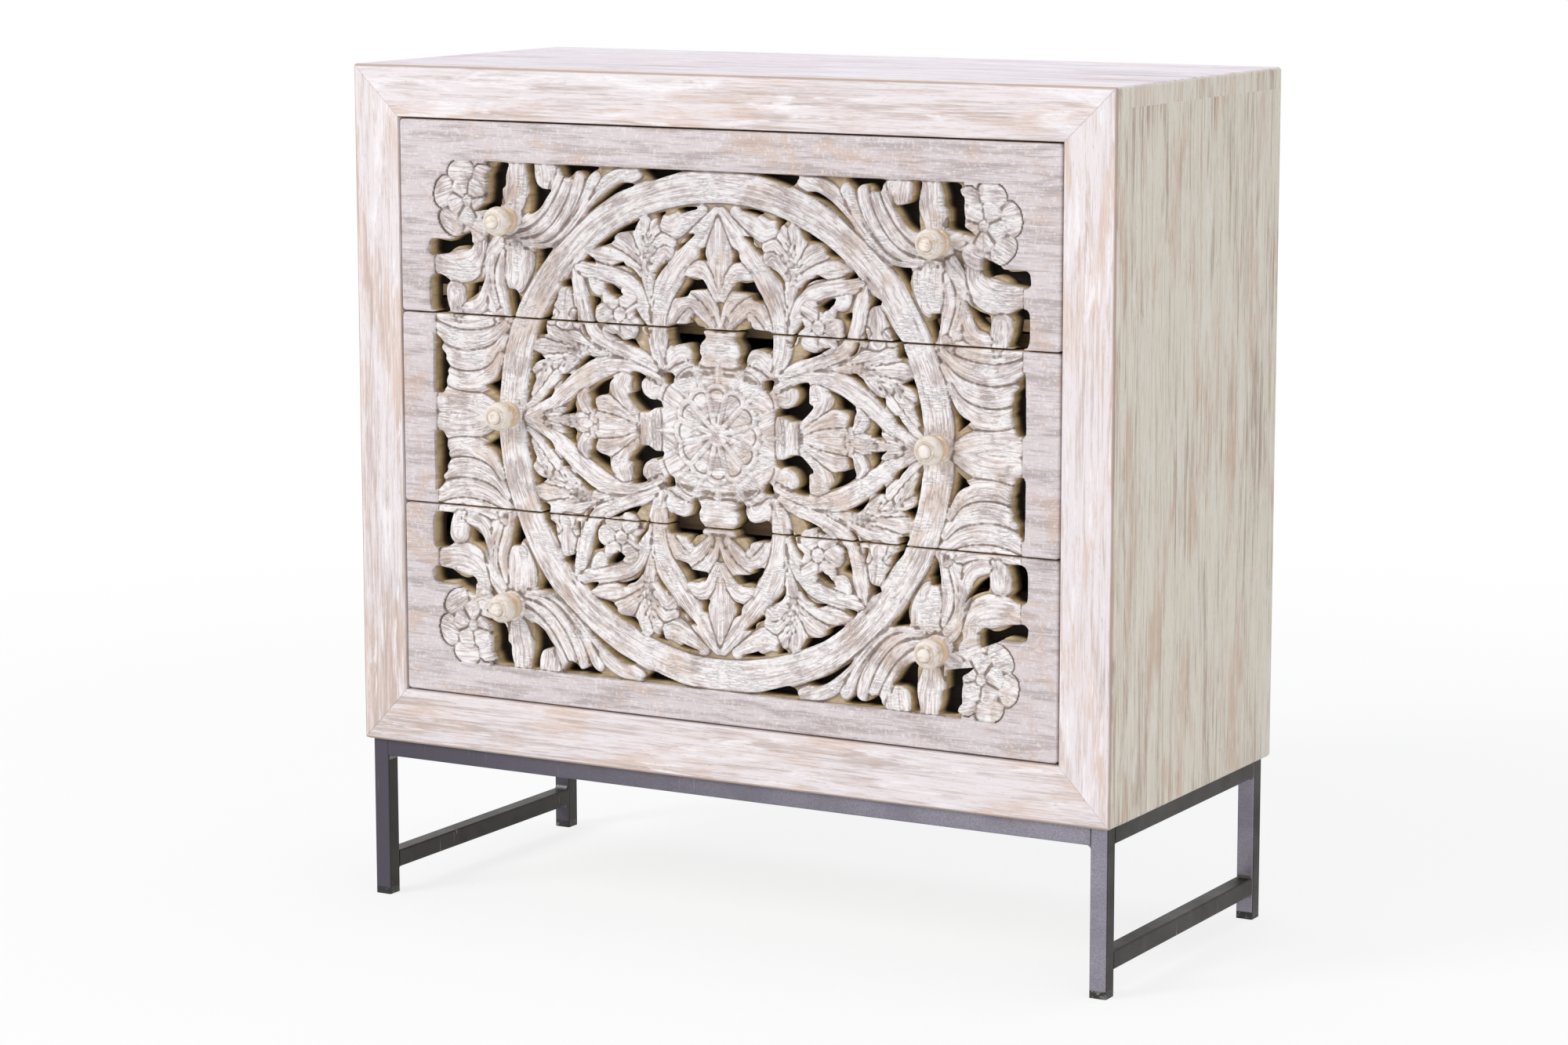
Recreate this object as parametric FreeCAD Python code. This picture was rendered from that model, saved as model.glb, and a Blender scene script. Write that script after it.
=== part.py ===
"""A carved three-drawer chest on a welded steel base, in millimetres.

A mango-wood case with a mitred front frame stands on a base of square tube. Its three inset
drawer fronts are one pierced carving: a ring with a rosette, eight arches and leaf scrolls that
runs across all three. The front faces -Y, +Z is up, and the origin is the middle of the footprint
on the floor, knobs included.
"""

import FreeCAD, Part
import math
import os

from FreeCAD import Vector

# The case
body_width = 900.0
body_depth = 400.0
body_height = 735.0
base_height = 175.0
side_thickness = 25.0
top_thickness = 22.0
bottom_thickness = 22.0
back_thickness = 6.0
back_rebate = 10.0
back_clearance = 0.5
arris_radius = 4.0
cut_overrun = 1.0

# The mitred front frame
frame_thickness = 28.0
stile_width = 57.0
top_rail_height = 55.0
bottom_rail_height = 60.0

# The drawer fronts
drawer_count = 3
front_gap = 2.0
front_thickness = 28.0
front_arris = 2.0
field_side_margin = 41.0
field_end_margin = 38.0
carving_drop = 3.5

# The drawer boxes
box_side_inset = 7.0
box_rise = 15.0
box_height = 150.0
box_length = 330.0
box_side_thickness = 14.0
box_back_thickness = 12.0
box_bottom_thickness = 12.0
backing_thickness = 8.0

# The runners
runner_height = 36.0
runner_gap = 1.0
tongue_height = 12.0
tongue_reach = 6.5
tongue_clearance = 0.3
tongue_seat_clearance = 0.2
runner_front_gap = 0.3
divider_height = 22.0
divider_depth = 60.0
divider_setback = 20.0

# The knobs and their screws
knob_offset = 256.0
knob_projection = 32.0
knob_flange_radius = 15.0
knob_flange_thickness = 4.0
knob_neck_radius = 12.0
knob_body_radius = 15.5
knob_crown_radius = 13.0
knob_tip_radius = 8.0
screw_radius = 2.0
screw_clearance = 0.05
screw_hole_clearance = 0.3
screw_head_radius = 4.5
screw_head_height = 2.5
knob_screw_bite = 18.0
knob_hole_spare = 2.0

# The steel base
tube_size = 19.0
tube_wall = 1.6
tube_corner_radius = 2.0
base_side_inset = 6.0
base_front_inset = 8.0
base_back_inset = 10.0
stretcher_rise = 27.0
cap_clearance = 0.1
cap_height = 8.0
plug_length = 12.0
plug_wall = 2.0
weld_radius = 5.0
weld_edge_inset = 2.0
tab_size = 45.0
tab_thickness = 3.0
tab_screw_bite = 15.0
back_screw_rows = 4
back_screw_inset = 5.0
back_screw_bite = 14.0
back_screw_head_height = 1.2
back_screw_head_radius = 3.5
back_screw_radius = 1.5

# Places that follow from the sizes above. Heights are from the floor, depths from the front face.
front_plane = knob_projection - (body_depth + knob_projection) / 2
body_top = base_height + body_height
opening_width = body_width - 2 * stile_width
opening_bottom = base_height + bottom_rail_height
opening_height = body_height - top_rail_height - bottom_rail_height
front_width = opening_width - 2 * front_gap
front_height = (opening_height - (drawer_count + 1) * front_gap) / drawer_count
carving_height = opening_bottom + opening_height / 2 - carving_drop
field_half_width = front_width / 2 - field_side_margin
field_half_height = opening_height / 2 - front_gap - field_end_margin
box_half_width = front_width / 2 - box_side_inset
box_front = front_thickness
box_back = box_front + box_length
inner_half_width = body_width / 2 - side_thickness
leg_x = body_width / 2 - base_side_inset - tube_size / 2
front_leg_y = base_front_inset + tube_size / 2
back_leg_y = body_depth - base_back_inset - tube_size / 2
rail_bottom = base_height - tube_size

# The pierced openings, as the control polygons of smooth closed curves. Each is carved four times,
# mirrored to both sides of the carving's middle. Its points count outwards and upwards from the
# middle, in steps that are these shares of the carved field's half width and half height.
field_step_shares = (1 / 350, 1 / 270)
opening_shares = {
    # Inside the ring
    "by_petal_foot": [(193, 149), (179, 155), (177, 147), (175, 137), (182, 143), (191, 144)],
    "by_bud": [(194, 139), (196, 130), (201, 122), (203, 110), (209, 99), (207, 91), (223, 89), (217, 105),
               (205, 120), (198, 133)],
    "behind_bud": [(171, 128), (170, 106), (175, 106), (173, 118)],
    "at_petal_tip": [(165, 171), (159, 180), (146, 168), (155, 169)],
    "above_petal": [(131, 166), (114, 173), (111, 167), (98, 160), (92, 144), (98, 153), (105, 161), (115, 166)],
    "left_in_petal": [(158, 136), (144, 133), (151, 124), (151, 116), (143, 106), (150, 107), (154, 120)],
    "top_in_petal": [(139, 149), (127, 147), (112, 137), (120, 134), (125, 132), (134, 138)],
    "right_in_petal": [(99, 124), (92, 110), (86, 105), (82, 91), (90, 101), (96, 111), (102, 116)],
    "along_ring": [(150, 186), (136, 196), (122, 205), (106, 212), (91, 218), (100, 204), (121, 202), (124, 193),
                   (140, 187)],
    "between_lobes": [(79, 223), (64, 226), (67, 220), (70, 211), (75, 219)],
    "under_ring": [(53, 229), (40, 232), (23, 233), (26, 230), (38, 227), (45, 223)],
    "by_top_arch": [(39, 204), (26, 206), (36, 196), (50, 184), (51, 191), (43, 194)],
    "by_centre_leaf": [(15, 195), (17, 184), (12, 176), (26, 177), (24, 189)],
    "over_fronds": [(39, 160), (34, 156), (19, 159), (14, 146), (36, 146), (38, 139), (55, 134), (48, 144)],
    "by_collar": [(63, 109), (38, 110), (36, 121), (29, 109), (18, 109), (16, 99), (23, 91), (20, 77), (29, 66),
                  (33, 72), (33, 82), (42, 91), (56, 83), (63, 92)],
    "at_arch_node": [(67, 61), (50, 59), (53, 47), (64, 44)],
    "by_side_curl": [(108, 60), (96, 58), (85, 54), (94, 49), (92, 34), (82, 29), (69, 32), (65, 21), (85, 17),
                     (98, 17), (107, 26), (114, 35), (104, 38), (104, 48)],
    "in_side_arch": [(124, 54), (134, 46), (138, 31), (152, 31), (149, 14), (159, 15), (158, 28), (163, 34),
                     (147, 45)],
    "by_side_point": [(176, 27), (180, 17), (175, 6), (199, 4), (188, 14), (187, 20)],
    "along_ring_side": [(226, 75), (216, 67), (208, 63), (224, 61), (230, 50), (224, 42), (230, 28), (238, 17),
                        (234, 36), (231, 58)],
    "in_side_leaf": [(210, 33), (200, 34), (206, 22), (222, 15), (213, 26)],
    "by_side_arch": [(195, 51), (180, 50), (173, 61), (160, 74), (146, 71), (165, 61), (184, 47), (194, 36)],
    "in_petal_foot": [(166, 106), (161, 106), (158, 95), (151, 89), (160, 92)],
    "under_blossom": [(137, 100), (121, 97), (116, 89), (102, 94), (101, 88), (94, 80), (116, 88)],
    "by_leaf_stalk": [(58, 174), (68, 171), (78, 160), (78, 150), (69, 163)],
    # Between the ring and the corners
    "by_corner_flower": [(278, 270), (253, 270), (259, 255), (258, 244), (265, 243), (263, 221), (301, 215),
                         (286, 222), (284, 235), (281, 248), (285, 257)],
    "by_upright_leaf": [(237, 270), (223, 270), (227, 248), (213, 243), (199, 244), (212, 229), (221, 219), (234, 214),
                        (230, 229), (232, 252)],
    "under_top_margin": [(198, 270), (191, 262), (186, 254), (179, 257), (170, 265), (162, 260), (160, 254),
                         (151, 264), (142, 270)],
    "above_ring": [(101, 270), (90, 260), (84, 254), (67, 261), (38, 270)],
    "ring_lens": [(162, 216), (144, 236), (125, 252), (99, 256), (101, 250), (129, 240), (150, 226)],
    "ring_shoulder": [(226, 183), (214, 182), (196, 186), (214, 168), (225, 153), (222, 170)],
    "ring_side": [(260, 139), (246, 137), (241, 130), (246, 118), (250, 106), (255, 106), (257, 120)],
    "over_crescent": [(358, 188), (331, 182), (317, 192), (303, 199), (302, 184), (307, 174), (322, 180),
                      (334, 169), (355, 166), (359, 176)],
    "by_ball": [(358, 148), (346, 148), (331, 142), (339, 136), (335, 118), (330, 106), (358, 106)],
    "in_curl": [(284, 157), (287, 146), (297, 131), (314, 120), (310, 140), (296, 141)],
    "by_side_fan": [(350, 86), (343, 76), (343, 66), (337, 58), (335, 44), (338, 29), (343, 18), (355, 20),
                    (353, 51), (354, 85)],
    "ring_wedge": [(266, 61), (269, 46), (273, 17), (293, 32), (277, 38)],
}

# The knob's outline from the flange to the tip, as shares of its projection.
knob_neck_share = 0.25
knob_body_share = 0.52
knob_shoulder_share = 0.86
knob_button_share = 0.90


def box(x_low, x_high, y_low, y_high, z_low, z_high):
    """A block between two corners."""
    corner = Vector(x_low, y_low, z_low)
    return Part.makeBox(x_high - x_low, y_high - y_low, z_high - z_low, corner)


def rod(radius, y_low, y_high, x, z):
    """A round bar along Y."""
    return Part.makeCylinder(radius, y_high - y_low, Vector(x, y_low, z), Vector(0, 1, 0))


def save(name, *solids):
    """Writes one node, moved so that the footprint's middle is the origin."""
    shape = solids[0] if len(solids) == 1 else Part.makeCompound(list(solids))
    shape = shape.copy()
    shape.translate(Vector(0, front_plane, 0))
    shape.exportStep(os.path.join("parts", name + ".step"))


def drawer_bottom(index):
    """Height of a drawer front's lower edge, counted from the bottom drawer."""
    return opening_bottom + front_gap + index * (front_height + front_gap)


# The case


def case_envelope():
    """The whole case as one block with softened edges, which the outer boards are cut to."""
    block = box(-body_width / 2, body_width / 2, 0, body_depth, base_height, body_top)
    return block.makeFillet(arris_radius, block.Edges)


def back_opening():
    """The rebated seat of the back panel, which the boards round it are cut by."""
    return box(-inner_half_width - back_rebate, inner_half_width + back_rebate,
               body_depth - back_thickness, body_depth + cut_overrun,
               base_height + bottom_thickness - back_rebate, body_top - top_thickness + back_rebate)


def mitred_frame():
    """Stiles and rails of the front frame, mitred at the corners."""
    outer_x, inner_x = body_width / 2, opening_width / 2
    low, high = base_height, body_top
    inner_low, inner_high = opening_bottom, opening_bottom + opening_height
    outlines = {
        "frame_left_stile": [(-outer_x, low), (-inner_x, inner_low), (-inner_x, inner_high), (-outer_x, high)],
        "frame_right_stile": [(outer_x, low), (outer_x, high), (inner_x, inner_high), (inner_x, inner_low)],
        "frame_top_rail": [(-outer_x, high), (-inner_x, inner_high), (inner_x, inner_high), (outer_x, high)],
        "frame_bottom_rail": [(-outer_x, low), (outer_x, low), (inner_x, inner_low), (-inner_x, inner_low)],
    }
    pieces = {}
    for name, outline in outlines.items():
        corners = [Vector(x, 0, z) for x, z in outline + outline[:1]]
        pieces[name] = Part.Face(Part.makePolygon(corners)).extrude(Vector(0, frame_thickness, 0))
    return pieces


def case_boards():
    """Top, bottom and side boards behind the front frame, rebated for the back panel."""
    half = body_width / 2
    shelf_top = base_height + bottom_thickness
    under_top = body_top - top_thickness
    boards = {
        "top_board": box(-half, half, frame_thickness, body_depth, under_top, body_top),
        "bottom_board": box(-inner_half_width, inner_half_width, frame_thickness, body_depth, base_height, shelf_top),
        "left_side_board": box(-half, -inner_half_width, frame_thickness, body_depth, base_height, under_top),
        "right_side_board": box(inner_half_width, half, frame_thickness, body_depth, base_height, under_top),
    }
    seat = back_opening()
    return {name: board.cut(seat) for name, board in boards.items()}


def back_panel():
    """Thin panel in the rebate, with clearance all round."""
    reach = back_rebate - back_clearance
    return box(-inner_half_width - reach, inner_half_width + reach, body_depth - back_thickness, body_depth,
               base_height + bottom_thickness - reach, body_top - top_thickness + reach)


def back_screw_places():
    """Screws up both side edges of the back panel."""
    low = base_height + bottom_thickness - back_rebate + back_screw_inset
    high = body_top - top_thickness + back_rebate - back_screw_inset
    x = inner_half_width + back_screw_inset
    heights = [low + (high - low) * row / (back_screw_rows - 1) for row in range(back_screw_rows)]
    return [(side * x, height) for side in (-1, 1) for height in heights]


def back_screws():
    """Small pan-head screws that hold the back panel into the boards."""
    screws = []
    seat = body_depth
    for x, z in back_screw_places():
        shank = rod(back_screw_radius, seat - back_thickness - back_screw_bite, seat, x, z)
        head = rod(back_screw_head_radius, seat, seat + back_screw_head_height, x, z)
        screws.append(shank.fuse(head))
    return screws


def back_screw_holes():
    """Clear holes for the back screws through the panel and into the boards."""
    end = body_depth - back_thickness - back_screw_bite - screw_clearance
    holes = [rod(back_screw_radius + screw_clearance, end, body_depth + cut_overrun, x, z)
             for x, z in back_screw_places()]
    return Part.makeCompound(holes)


def divider_rail(index):
    """Rail across the case behind the gap over drawer number index."""
    middle = drawer_bottom(index) - front_gap / 2
    start = front_thickness + divider_setback
    return box(-inner_half_width, inner_half_width, start, start + divider_depth,
               middle - divider_height / 2, middle + divider_height / 2)


# The runners


def groove_height_range(index, clearance_below, clearance_above):
    """Lowest and highest height of a tongue or its groove on drawer number index."""
    middle = drawer_bottom(index) + box_rise + box_height / 2
    return middle - tongue_height / 2 - clearance_below, middle + tongue_height / 2 + clearance_above


def runner(index, side):
    """Batten on the case side with a tongue that runs in the drawer side's groove."""
    low, high = groove_height_range(index, 0, 0)
    middle = (low + high) / 2
    face = box_half_width + runner_gap
    start = max(frame_thickness, front_thickness + runner_front_gap)
    end = body_depth - back_thickness
    tongue_start = box_front + backing_thickness + tongue_clearance
    batten = box(face, inner_half_width, start, end, middle - runner_height / 2, middle + runner_height / 2)
    tongue = box(box_half_width - tongue_reach, face, tongue_start, end, low, high)
    shape = batten.fuse(tongue).removeSplitter()
    return shape if side > 0 else mirrored(shape)


def mirrored(shape):
    """The same piece on the other side of the case."""
    return shape.mirror(Vector(0, 0, 0), Vector(1, 0, 0))


# The carving


def closed_curve(points):
    """A smooth closed wire whose control polygon is given in the front plane."""
    curve = Part.BSplineCurve()
    curve.buildFromPoles([Vector(x, 0, z) for x, z in points], True, 2)
    return Part.Wire(curve.toShape())


def opening_wires():
    """All pierced openings, each outline mirrored into the four quarters of the carving."""
    step_x, step_z = field_half_width * field_step_shares[0], field_half_height * field_step_shares[1]
    wires = []
    for outline in opening_shares.values():
        for side in (-1, 1):
            for end in (-1, 1):
                points = [(side * x * step_x, carving_height + end * z * step_z) for x, z in outline]
                wires.append(closed_curve(points))
    return wires


def carved_front(index, openings):
    """One drawer front: a plank with its share of the pierced openings and its two screw holes."""
    low = drawer_bottom(index)
    high = low + front_height
    half = front_width / 2
    corners = [Vector(x, 0, z) for x, z in ((-half, low), (half, low), (half, high), (-half, high), (-half, low))]
    sheet = Part.Face(Part.makePolygon(corners))
    inside, across = [], []
    for wire in openings:
        bounds = wire.BoundBox
        if bounds.ZMin > low and bounds.ZMax < high:
            inside.append(wire)
        elif bounds.ZMax > low and bounds.ZMin < high:
            across.append(Part.Face(wire))
    for x, z in knob_places(index):
        inside.append(Part.Wire(Part.makeCircle(screw_radius + screw_hole_clearance, Vector(x, 0, z), Vector(0, 1, 0))))
    if across:
        sheet = sheet.cut(Part.makeCompound(across)).Faces[0]
    sheet = Part.Face([sheet.OuterWire] + inside)
    sheet.validate()
    plank = sheet.extrude(Vector(0, front_thickness, 0))
    outer_edges = [edge for edge in plank.Edges if edge.BoundBox.YMax < front_thickness / 2
                   and edge.Length > front_height - front_gap]
    return plank.makeFillet(front_arris, outer_edges)


# The knobs


def knob_places(index):
    """Middle of each knob on drawer number index."""
    height = drawer_bottom(index) + front_height / 2
    return [(-knob_offset, height), (knob_offset, height)]


def screw_holes(index, y_low, y_high):
    """Clear holes for the knob screws through the front and the backing."""
    return [rod(screw_radius + screw_hole_clearance, y_low, y_high, x, z) for x, z in knob_places(index)]


def knob(x, z):
    """A turned knob: flange, neck, full body and a small button at the tip."""
    neck_y = -knob_projection * knob_neck_share
    body_y = -knob_projection * knob_body_share
    shoulder_y = -knob_projection * knob_shoulder_share
    button_y = -knob_projection * knob_button_share
    flange = Vector(knob_flange_radius, -knob_flange_thickness, 0)
    neck = Vector(knob_neck_radius, neck_y, 0)
    body = Vector(knob_body_radius, body_y, 0)
    shoulder = Vector(knob_tip_radius, shoulder_y, 0)
    crown = Vector(knob_crown_radius, (body_y + shoulder_y) / 2, 0)
    shape = [
        Part.LineSegment(Vector(0, 0, 0), Vector(knob_flange_radius, 0, 0)).toShape(),
        Part.LineSegment(Vector(knob_flange_radius, 0, 0), flange).toShape(),
        Part.LineSegment(flange, neck).toShape(),
        Part.LineSegment(neck, body).toShape(),
        Part.Arc(body, crown, shoulder).toShape(),
        Part.LineSegment(shoulder, Vector(knob_tip_radius, button_y, 0)).toShape(),
        Part.LineSegment(Vector(knob_tip_radius, button_y, 0), Vector(0, -knob_projection, 0)).toShape(),
        Part.LineSegment(Vector(0, -knob_projection, 0), Vector(0, 0, 0)).toShape(),
    ]
    turned = Part.Face(Part.Wire(shape)).revolve(Vector(0, 0, 0), Vector(0, 1, 0), 360)
    turned.translate(Vector(x, 0, z))
    hole = rod(screw_radius + screw_clearance, -knob_screw_bite - knob_hole_spare, cut_overrun, x, z)
    return turned.cut(hole)


def knob_screw(x, z):
    """The screw that holds a knob, from inside the drawer."""
    seat = box_front + backing_thickness
    shank = rod(screw_radius, -knob_screw_bite, seat, x, z)
    return shank.fuse(rod(screw_head_radius, seat, seat + screw_head_height, x, z))


# The drawer boxes


def drawer_box(index):
    """Sides, back, bottom and dark backing board of one drawer."""
    low = drawer_bottom(index) + box_rise
    floor = low + box_bottom_thickness
    high = low + box_height
    inner = box_half_width - box_side_thickness
    side = box(inner, box_half_width, box_front, box_back, low, high)
    groove_low, groove_high = groove_height_range(index, tongue_clearance, tongue_seat_clearance)
    groove = box(box_half_width - tongue_reach - tongue_clearance, box_half_width + cut_overrun,
                 box_front + backing_thickness, box_back + cut_overrun, groove_low, groove_high)
    side = side.cut(groove)
    backing = box(-inner, inner, box_front, box_front + backing_thickness, floor, high)
    backing = backing.cut(Part.makeCompound(screw_holes(index, 0, box_front + backing_thickness + cut_overrun)))
    return {
        "box_left_side": mirrored(side),
        "box_right_side": side,
        "box_back": box(-inner, inner, box_back - box_back_thickness, box_back, floor, high),
        "box_bottom": box(-inner, inner, box_front, box_back, low, floor),
        "backing_board": backing,
    }


# The steel base


def tube(x_low, x_high, y_low, y_high, z_low, z_high, axis):
    """Square tube with rounded corners and open ends along one axis."""
    wall = {other: tube_wall for other in "xyz"}
    wall[axis] = -cut_overrun
    bore = box(x_low + wall["x"], x_high - wall["x"], y_low + wall["y"], y_high - wall["y"],
               z_low + wall["z"], z_high - wall["z"])
    bar = box(x_low, x_high, y_low, y_high, z_low, z_high)
    long_edges = [edge for edge in bar.Edges if edge.Length > tube_size + cut_overrun]
    return bar.makeFillet(tube_corner_radius, long_edges).cut(bore)


def leg(x, y):
    """Upright tube from its foot cap to the case."""
    half = tube_size / 2
    return tube(x - half, x + half, y - half, y + half, cap_height, base_height, "z")


def long_rail(y):
    """Tube between two legs along the front or back."""
    half = tube_size / 2
    return tube(-leg_x + half, leg_x - half, y - half, y + half, rail_bottom, base_height, "x")


def side_tube(x, z_low):
    """Tube between the front and back leg on one side."""
    half = tube_size / 2
    return tube(x - half, x + half, front_leg_y + half, back_leg_y - half, z_low, z_low + tube_size, "y")


def foot_cap(x, y):
    """Moulded cap flush with the leg it closes, with a hollow plug pushed up inside the tube."""
    outer = tube_size / 2
    plug = outer - tube_wall - cap_clearance
    bore = plug - plug_wall
    top = cap_height + plug_length
    foot = box(x - outer, x + outer, y - outer, y + outer, 0, cap_height)
    upright = [edge for edge in foot.Edges if abs(edge.BoundBox.ZLength - cap_height) < cut_overrun]
    foot = foot.makeFillet(tube_corner_radius, upright)
    foot = foot.fuse(box(x - plug, x + plug, y - plug, y + plug, cap_height, top))
    return foot.cut(box(x - bore, x + bore, y - bore, y + bore, cap_height, top + cut_overrun))


def weld_bead(corner, out, up, along):
    """Concave weld in the corner between two tubes: out and up point away from it, along is its run."""
    start, end = corner + out * weld_radius, corner + up * weld_radius
    middle = corner + (out + up) * weld_radius * (1 - math.sqrt(0.5))
    edges = [Part.LineSegment(corner, start).toShape(), Part.Arc(start, middle, end).toShape(),
             Part.LineSegment(end, corner).toShape()]
    return Part.Face(Part.Wire(edges)).extrude(along)


def weld_beads():
    """Beads under the top rails and above and below the stretchers, at every leg."""
    half = tube_size / 2
    run = tube_size - 2 * weld_edge_inset
    down, up = Vector(0, 0, -1), Vector(0, 0, 1)
    beads = []
    for x in (-leg_x, leg_x):
        inward = Vector(-math.copysign(1, x), 0, 0)
        for y, into in ((front_leg_y, Vector(0, 1, 0)), (back_leg_y, Vector(0, -1, 0))):
            corner = Vector(x, y - half + weld_edge_inset, rail_bottom) + inward * half
            beads.append(weld_bead(corner, inward, down, Vector(0, run, 0)))
            side = Vector(x - half + weld_edge_inset, y, 0) + into * half
            for height, way in ((rail_bottom, down), (stretcher_rise + tube_size, up), (stretcher_rise, down)):
                beads.append(weld_bead(side + Vector(0, 0, height), into, way, Vector(run, 0, 0)))
    return beads


def tab_places():
    """Middle of each mounting tab, in the inner corners of the top frame."""
    x = leg_x - tube_size / 2 - tab_size / 2
    front, back = front_leg_y + tube_size / 2 + tab_size / 2, back_leg_y - tube_size / 2 - tab_size / 2
    return [(sx * x, y) for sx in (-1, 1) for y in (front, back)]


def screw_up(radius, x, y, z_low, z_high):
    """A round bar along Z."""
    return Part.makeCylinder(radius, z_high - z_low, Vector(x, y, z_low))


def mounting_tab(x, y):
    """Flat plate with one screw hole, welded in a corner flush with the frame's top."""
    half = tab_size / 2
    plate = box(x - half, x + half, y - half, y + half, base_height - tab_thickness, base_height)
    hole = screw_up(screw_radius + screw_hole_clearance, x, y,
                    base_height - tab_thickness - cut_overrun, base_height + cut_overrun)
    return plate.cut(hole)


def base_screw(x, y):
    """Screw up through a tab into the case's bottom board."""
    under = base_height - tab_thickness
    shank = screw_up(screw_radius, x, y, under, base_height + tab_screw_bite)
    return shank.fuse(screw_up(screw_head_radius, x, y, under - screw_head_height, under))


def base_screw_holes():
    """Pilot holes for the base screws in the bottom board."""
    top = base_height + tab_screw_bite + screw_clearance
    return Part.makeCompound([screw_up(screw_radius + screw_clearance, x, y, base_height - cut_overrun, top)
                              for x, y in tab_places()])


def build_case():
    envelope = case_envelope()
    holes = back_screw_holes()
    for name, piece in mitred_frame().items():
        save(name, piece.common(envelope))
    for name, board in case_boards().items():
        board = board.common(envelope).cut(holes)
        if name == "bottom_board":
            board = board.cut(base_screw_holes())
        save(name, board)
    save("back_panel", back_panel().cut(holes))
    save("back_panel_screws", *back_screws())
    for index in range(1, drawer_count):
        save("divider_rail_%d" % index, divider_rail(index))


def build_drawers():
    openings = opening_wires()
    for index in range(drawer_count):
        number = "drawer_%d_" % (index + 1)
        save(number + "carved_front", carved_front(index, openings))
        for name, piece in drawer_box(index).items():
            save(number + name, piece)
        for side, (x, z) in zip(("left", "right"), knob_places(index)):
            save(number + side + "_knob", knob(x, z))
        save(number + "knob_screws", *[knob_screw(x, z) for x, z in knob_places(index)])
        save("runner_%d_left" % (index + 1), runner(index, -1))
        save("runner_%d_right" % (index + 1), runner(index, 1))


def build_base():
    for side, x in (("left", -leg_x), ("right", leg_x)):
        save("leg_front_" + side, leg(x, front_leg_y))
        save("leg_back_" + side, leg(x, back_leg_y))
        save("base_%s_rail" % side, side_tube(x, rail_bottom))
        save("base_%s_stretcher" % side, side_tube(x, stretcher_rise))
    save("base_front_rail", long_rail(front_leg_y))
    save("base_back_rail", long_rail(back_leg_y))
    feet = [(x, y) for x in (-leg_x, leg_x) for y in (front_leg_y, back_leg_y)]
    save("foot_caps", *[foot_cap(x, y) for x, y in feet])
    save("weld_beads", *weld_beads())
    save("mounting_tabs", *[mounting_tab(x, y) for x, y in tab_places()])
    save("base_screws", *[base_screw(x, y) for x, y in tab_places()])


os.makedirs("parts", exist_ok=True)
build_case()
build_drawers()
build_base()
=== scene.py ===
from math import cos, pi, radians, sin

import bpy
import numpy as np
from mathutils import Matrix, Vector
from mathutils.geometry import delaunay_2d_cdt


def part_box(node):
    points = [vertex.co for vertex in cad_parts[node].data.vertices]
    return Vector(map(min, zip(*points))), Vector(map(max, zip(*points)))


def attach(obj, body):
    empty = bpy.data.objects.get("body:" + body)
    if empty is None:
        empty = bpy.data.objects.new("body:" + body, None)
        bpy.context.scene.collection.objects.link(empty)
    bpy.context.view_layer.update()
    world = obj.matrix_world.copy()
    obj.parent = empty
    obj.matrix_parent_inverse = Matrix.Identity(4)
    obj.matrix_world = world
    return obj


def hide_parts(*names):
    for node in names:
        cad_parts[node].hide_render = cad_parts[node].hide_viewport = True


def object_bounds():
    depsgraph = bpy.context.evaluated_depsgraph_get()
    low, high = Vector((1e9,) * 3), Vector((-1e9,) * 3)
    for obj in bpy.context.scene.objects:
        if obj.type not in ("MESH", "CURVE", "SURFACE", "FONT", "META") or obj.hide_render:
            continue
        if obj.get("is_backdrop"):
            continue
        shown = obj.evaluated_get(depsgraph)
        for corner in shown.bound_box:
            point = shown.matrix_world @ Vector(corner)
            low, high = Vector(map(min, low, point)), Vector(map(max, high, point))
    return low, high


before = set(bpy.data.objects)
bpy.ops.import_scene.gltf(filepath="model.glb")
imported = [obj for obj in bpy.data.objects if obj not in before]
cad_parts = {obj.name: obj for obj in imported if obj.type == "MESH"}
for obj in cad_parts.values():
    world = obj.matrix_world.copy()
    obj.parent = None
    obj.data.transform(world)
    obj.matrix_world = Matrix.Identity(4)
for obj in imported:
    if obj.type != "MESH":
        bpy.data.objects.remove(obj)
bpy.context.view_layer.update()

# CAMERA
# A long lens from the front right, a little above the top of the chest, as the photograph was taken.
eye = Vector((2.19918, -3.88308, 1.15236))
turn, dip, roll = radians(-29.819), radians(9.279), radians(-0.095)
sight = Vector((sin(turn) * cos(dip), cos(turn) * cos(dip), -sin(dip)))
lens = bpy.data.cameras.new("camera")
lens.sensor_width, lens.lens, lens.clip_end = 36.0, 97.01, 100.0
camera = bpy.data.objects.new("camera", lens)
aim = sight.to_track_quat("-Z", "Y").to_matrix().to_4x4()
camera.matrix_world = Matrix.Translation(eye) @ aim @ Matrix.Rotation(roll, 4, "Z")
bpy.context.collection.objects.link(camera)
bpy.context.scene.camera = camera
bpy.context.scene.view_settings.view_transform = "Standard"


# STUDIO
# A seamless white floor, a broad soft lamp high at the front left, and weaker ones at the right and above.
# The camera and gloss see plain white behind the chest, and the floor keeps a soft shadow.
def linear(colour):
    """The linear colour of an sRGB hex value, by the curve of that standard."""
    parts = [int(colour[i:i + 2], 16) / 255 for i in (1, 3, 5)]
    return [c / 12.92 if c <= 0.04045 else ((c + 0.055) / 1.055) ** 2.4 for c in parts] + [1.0]


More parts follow.
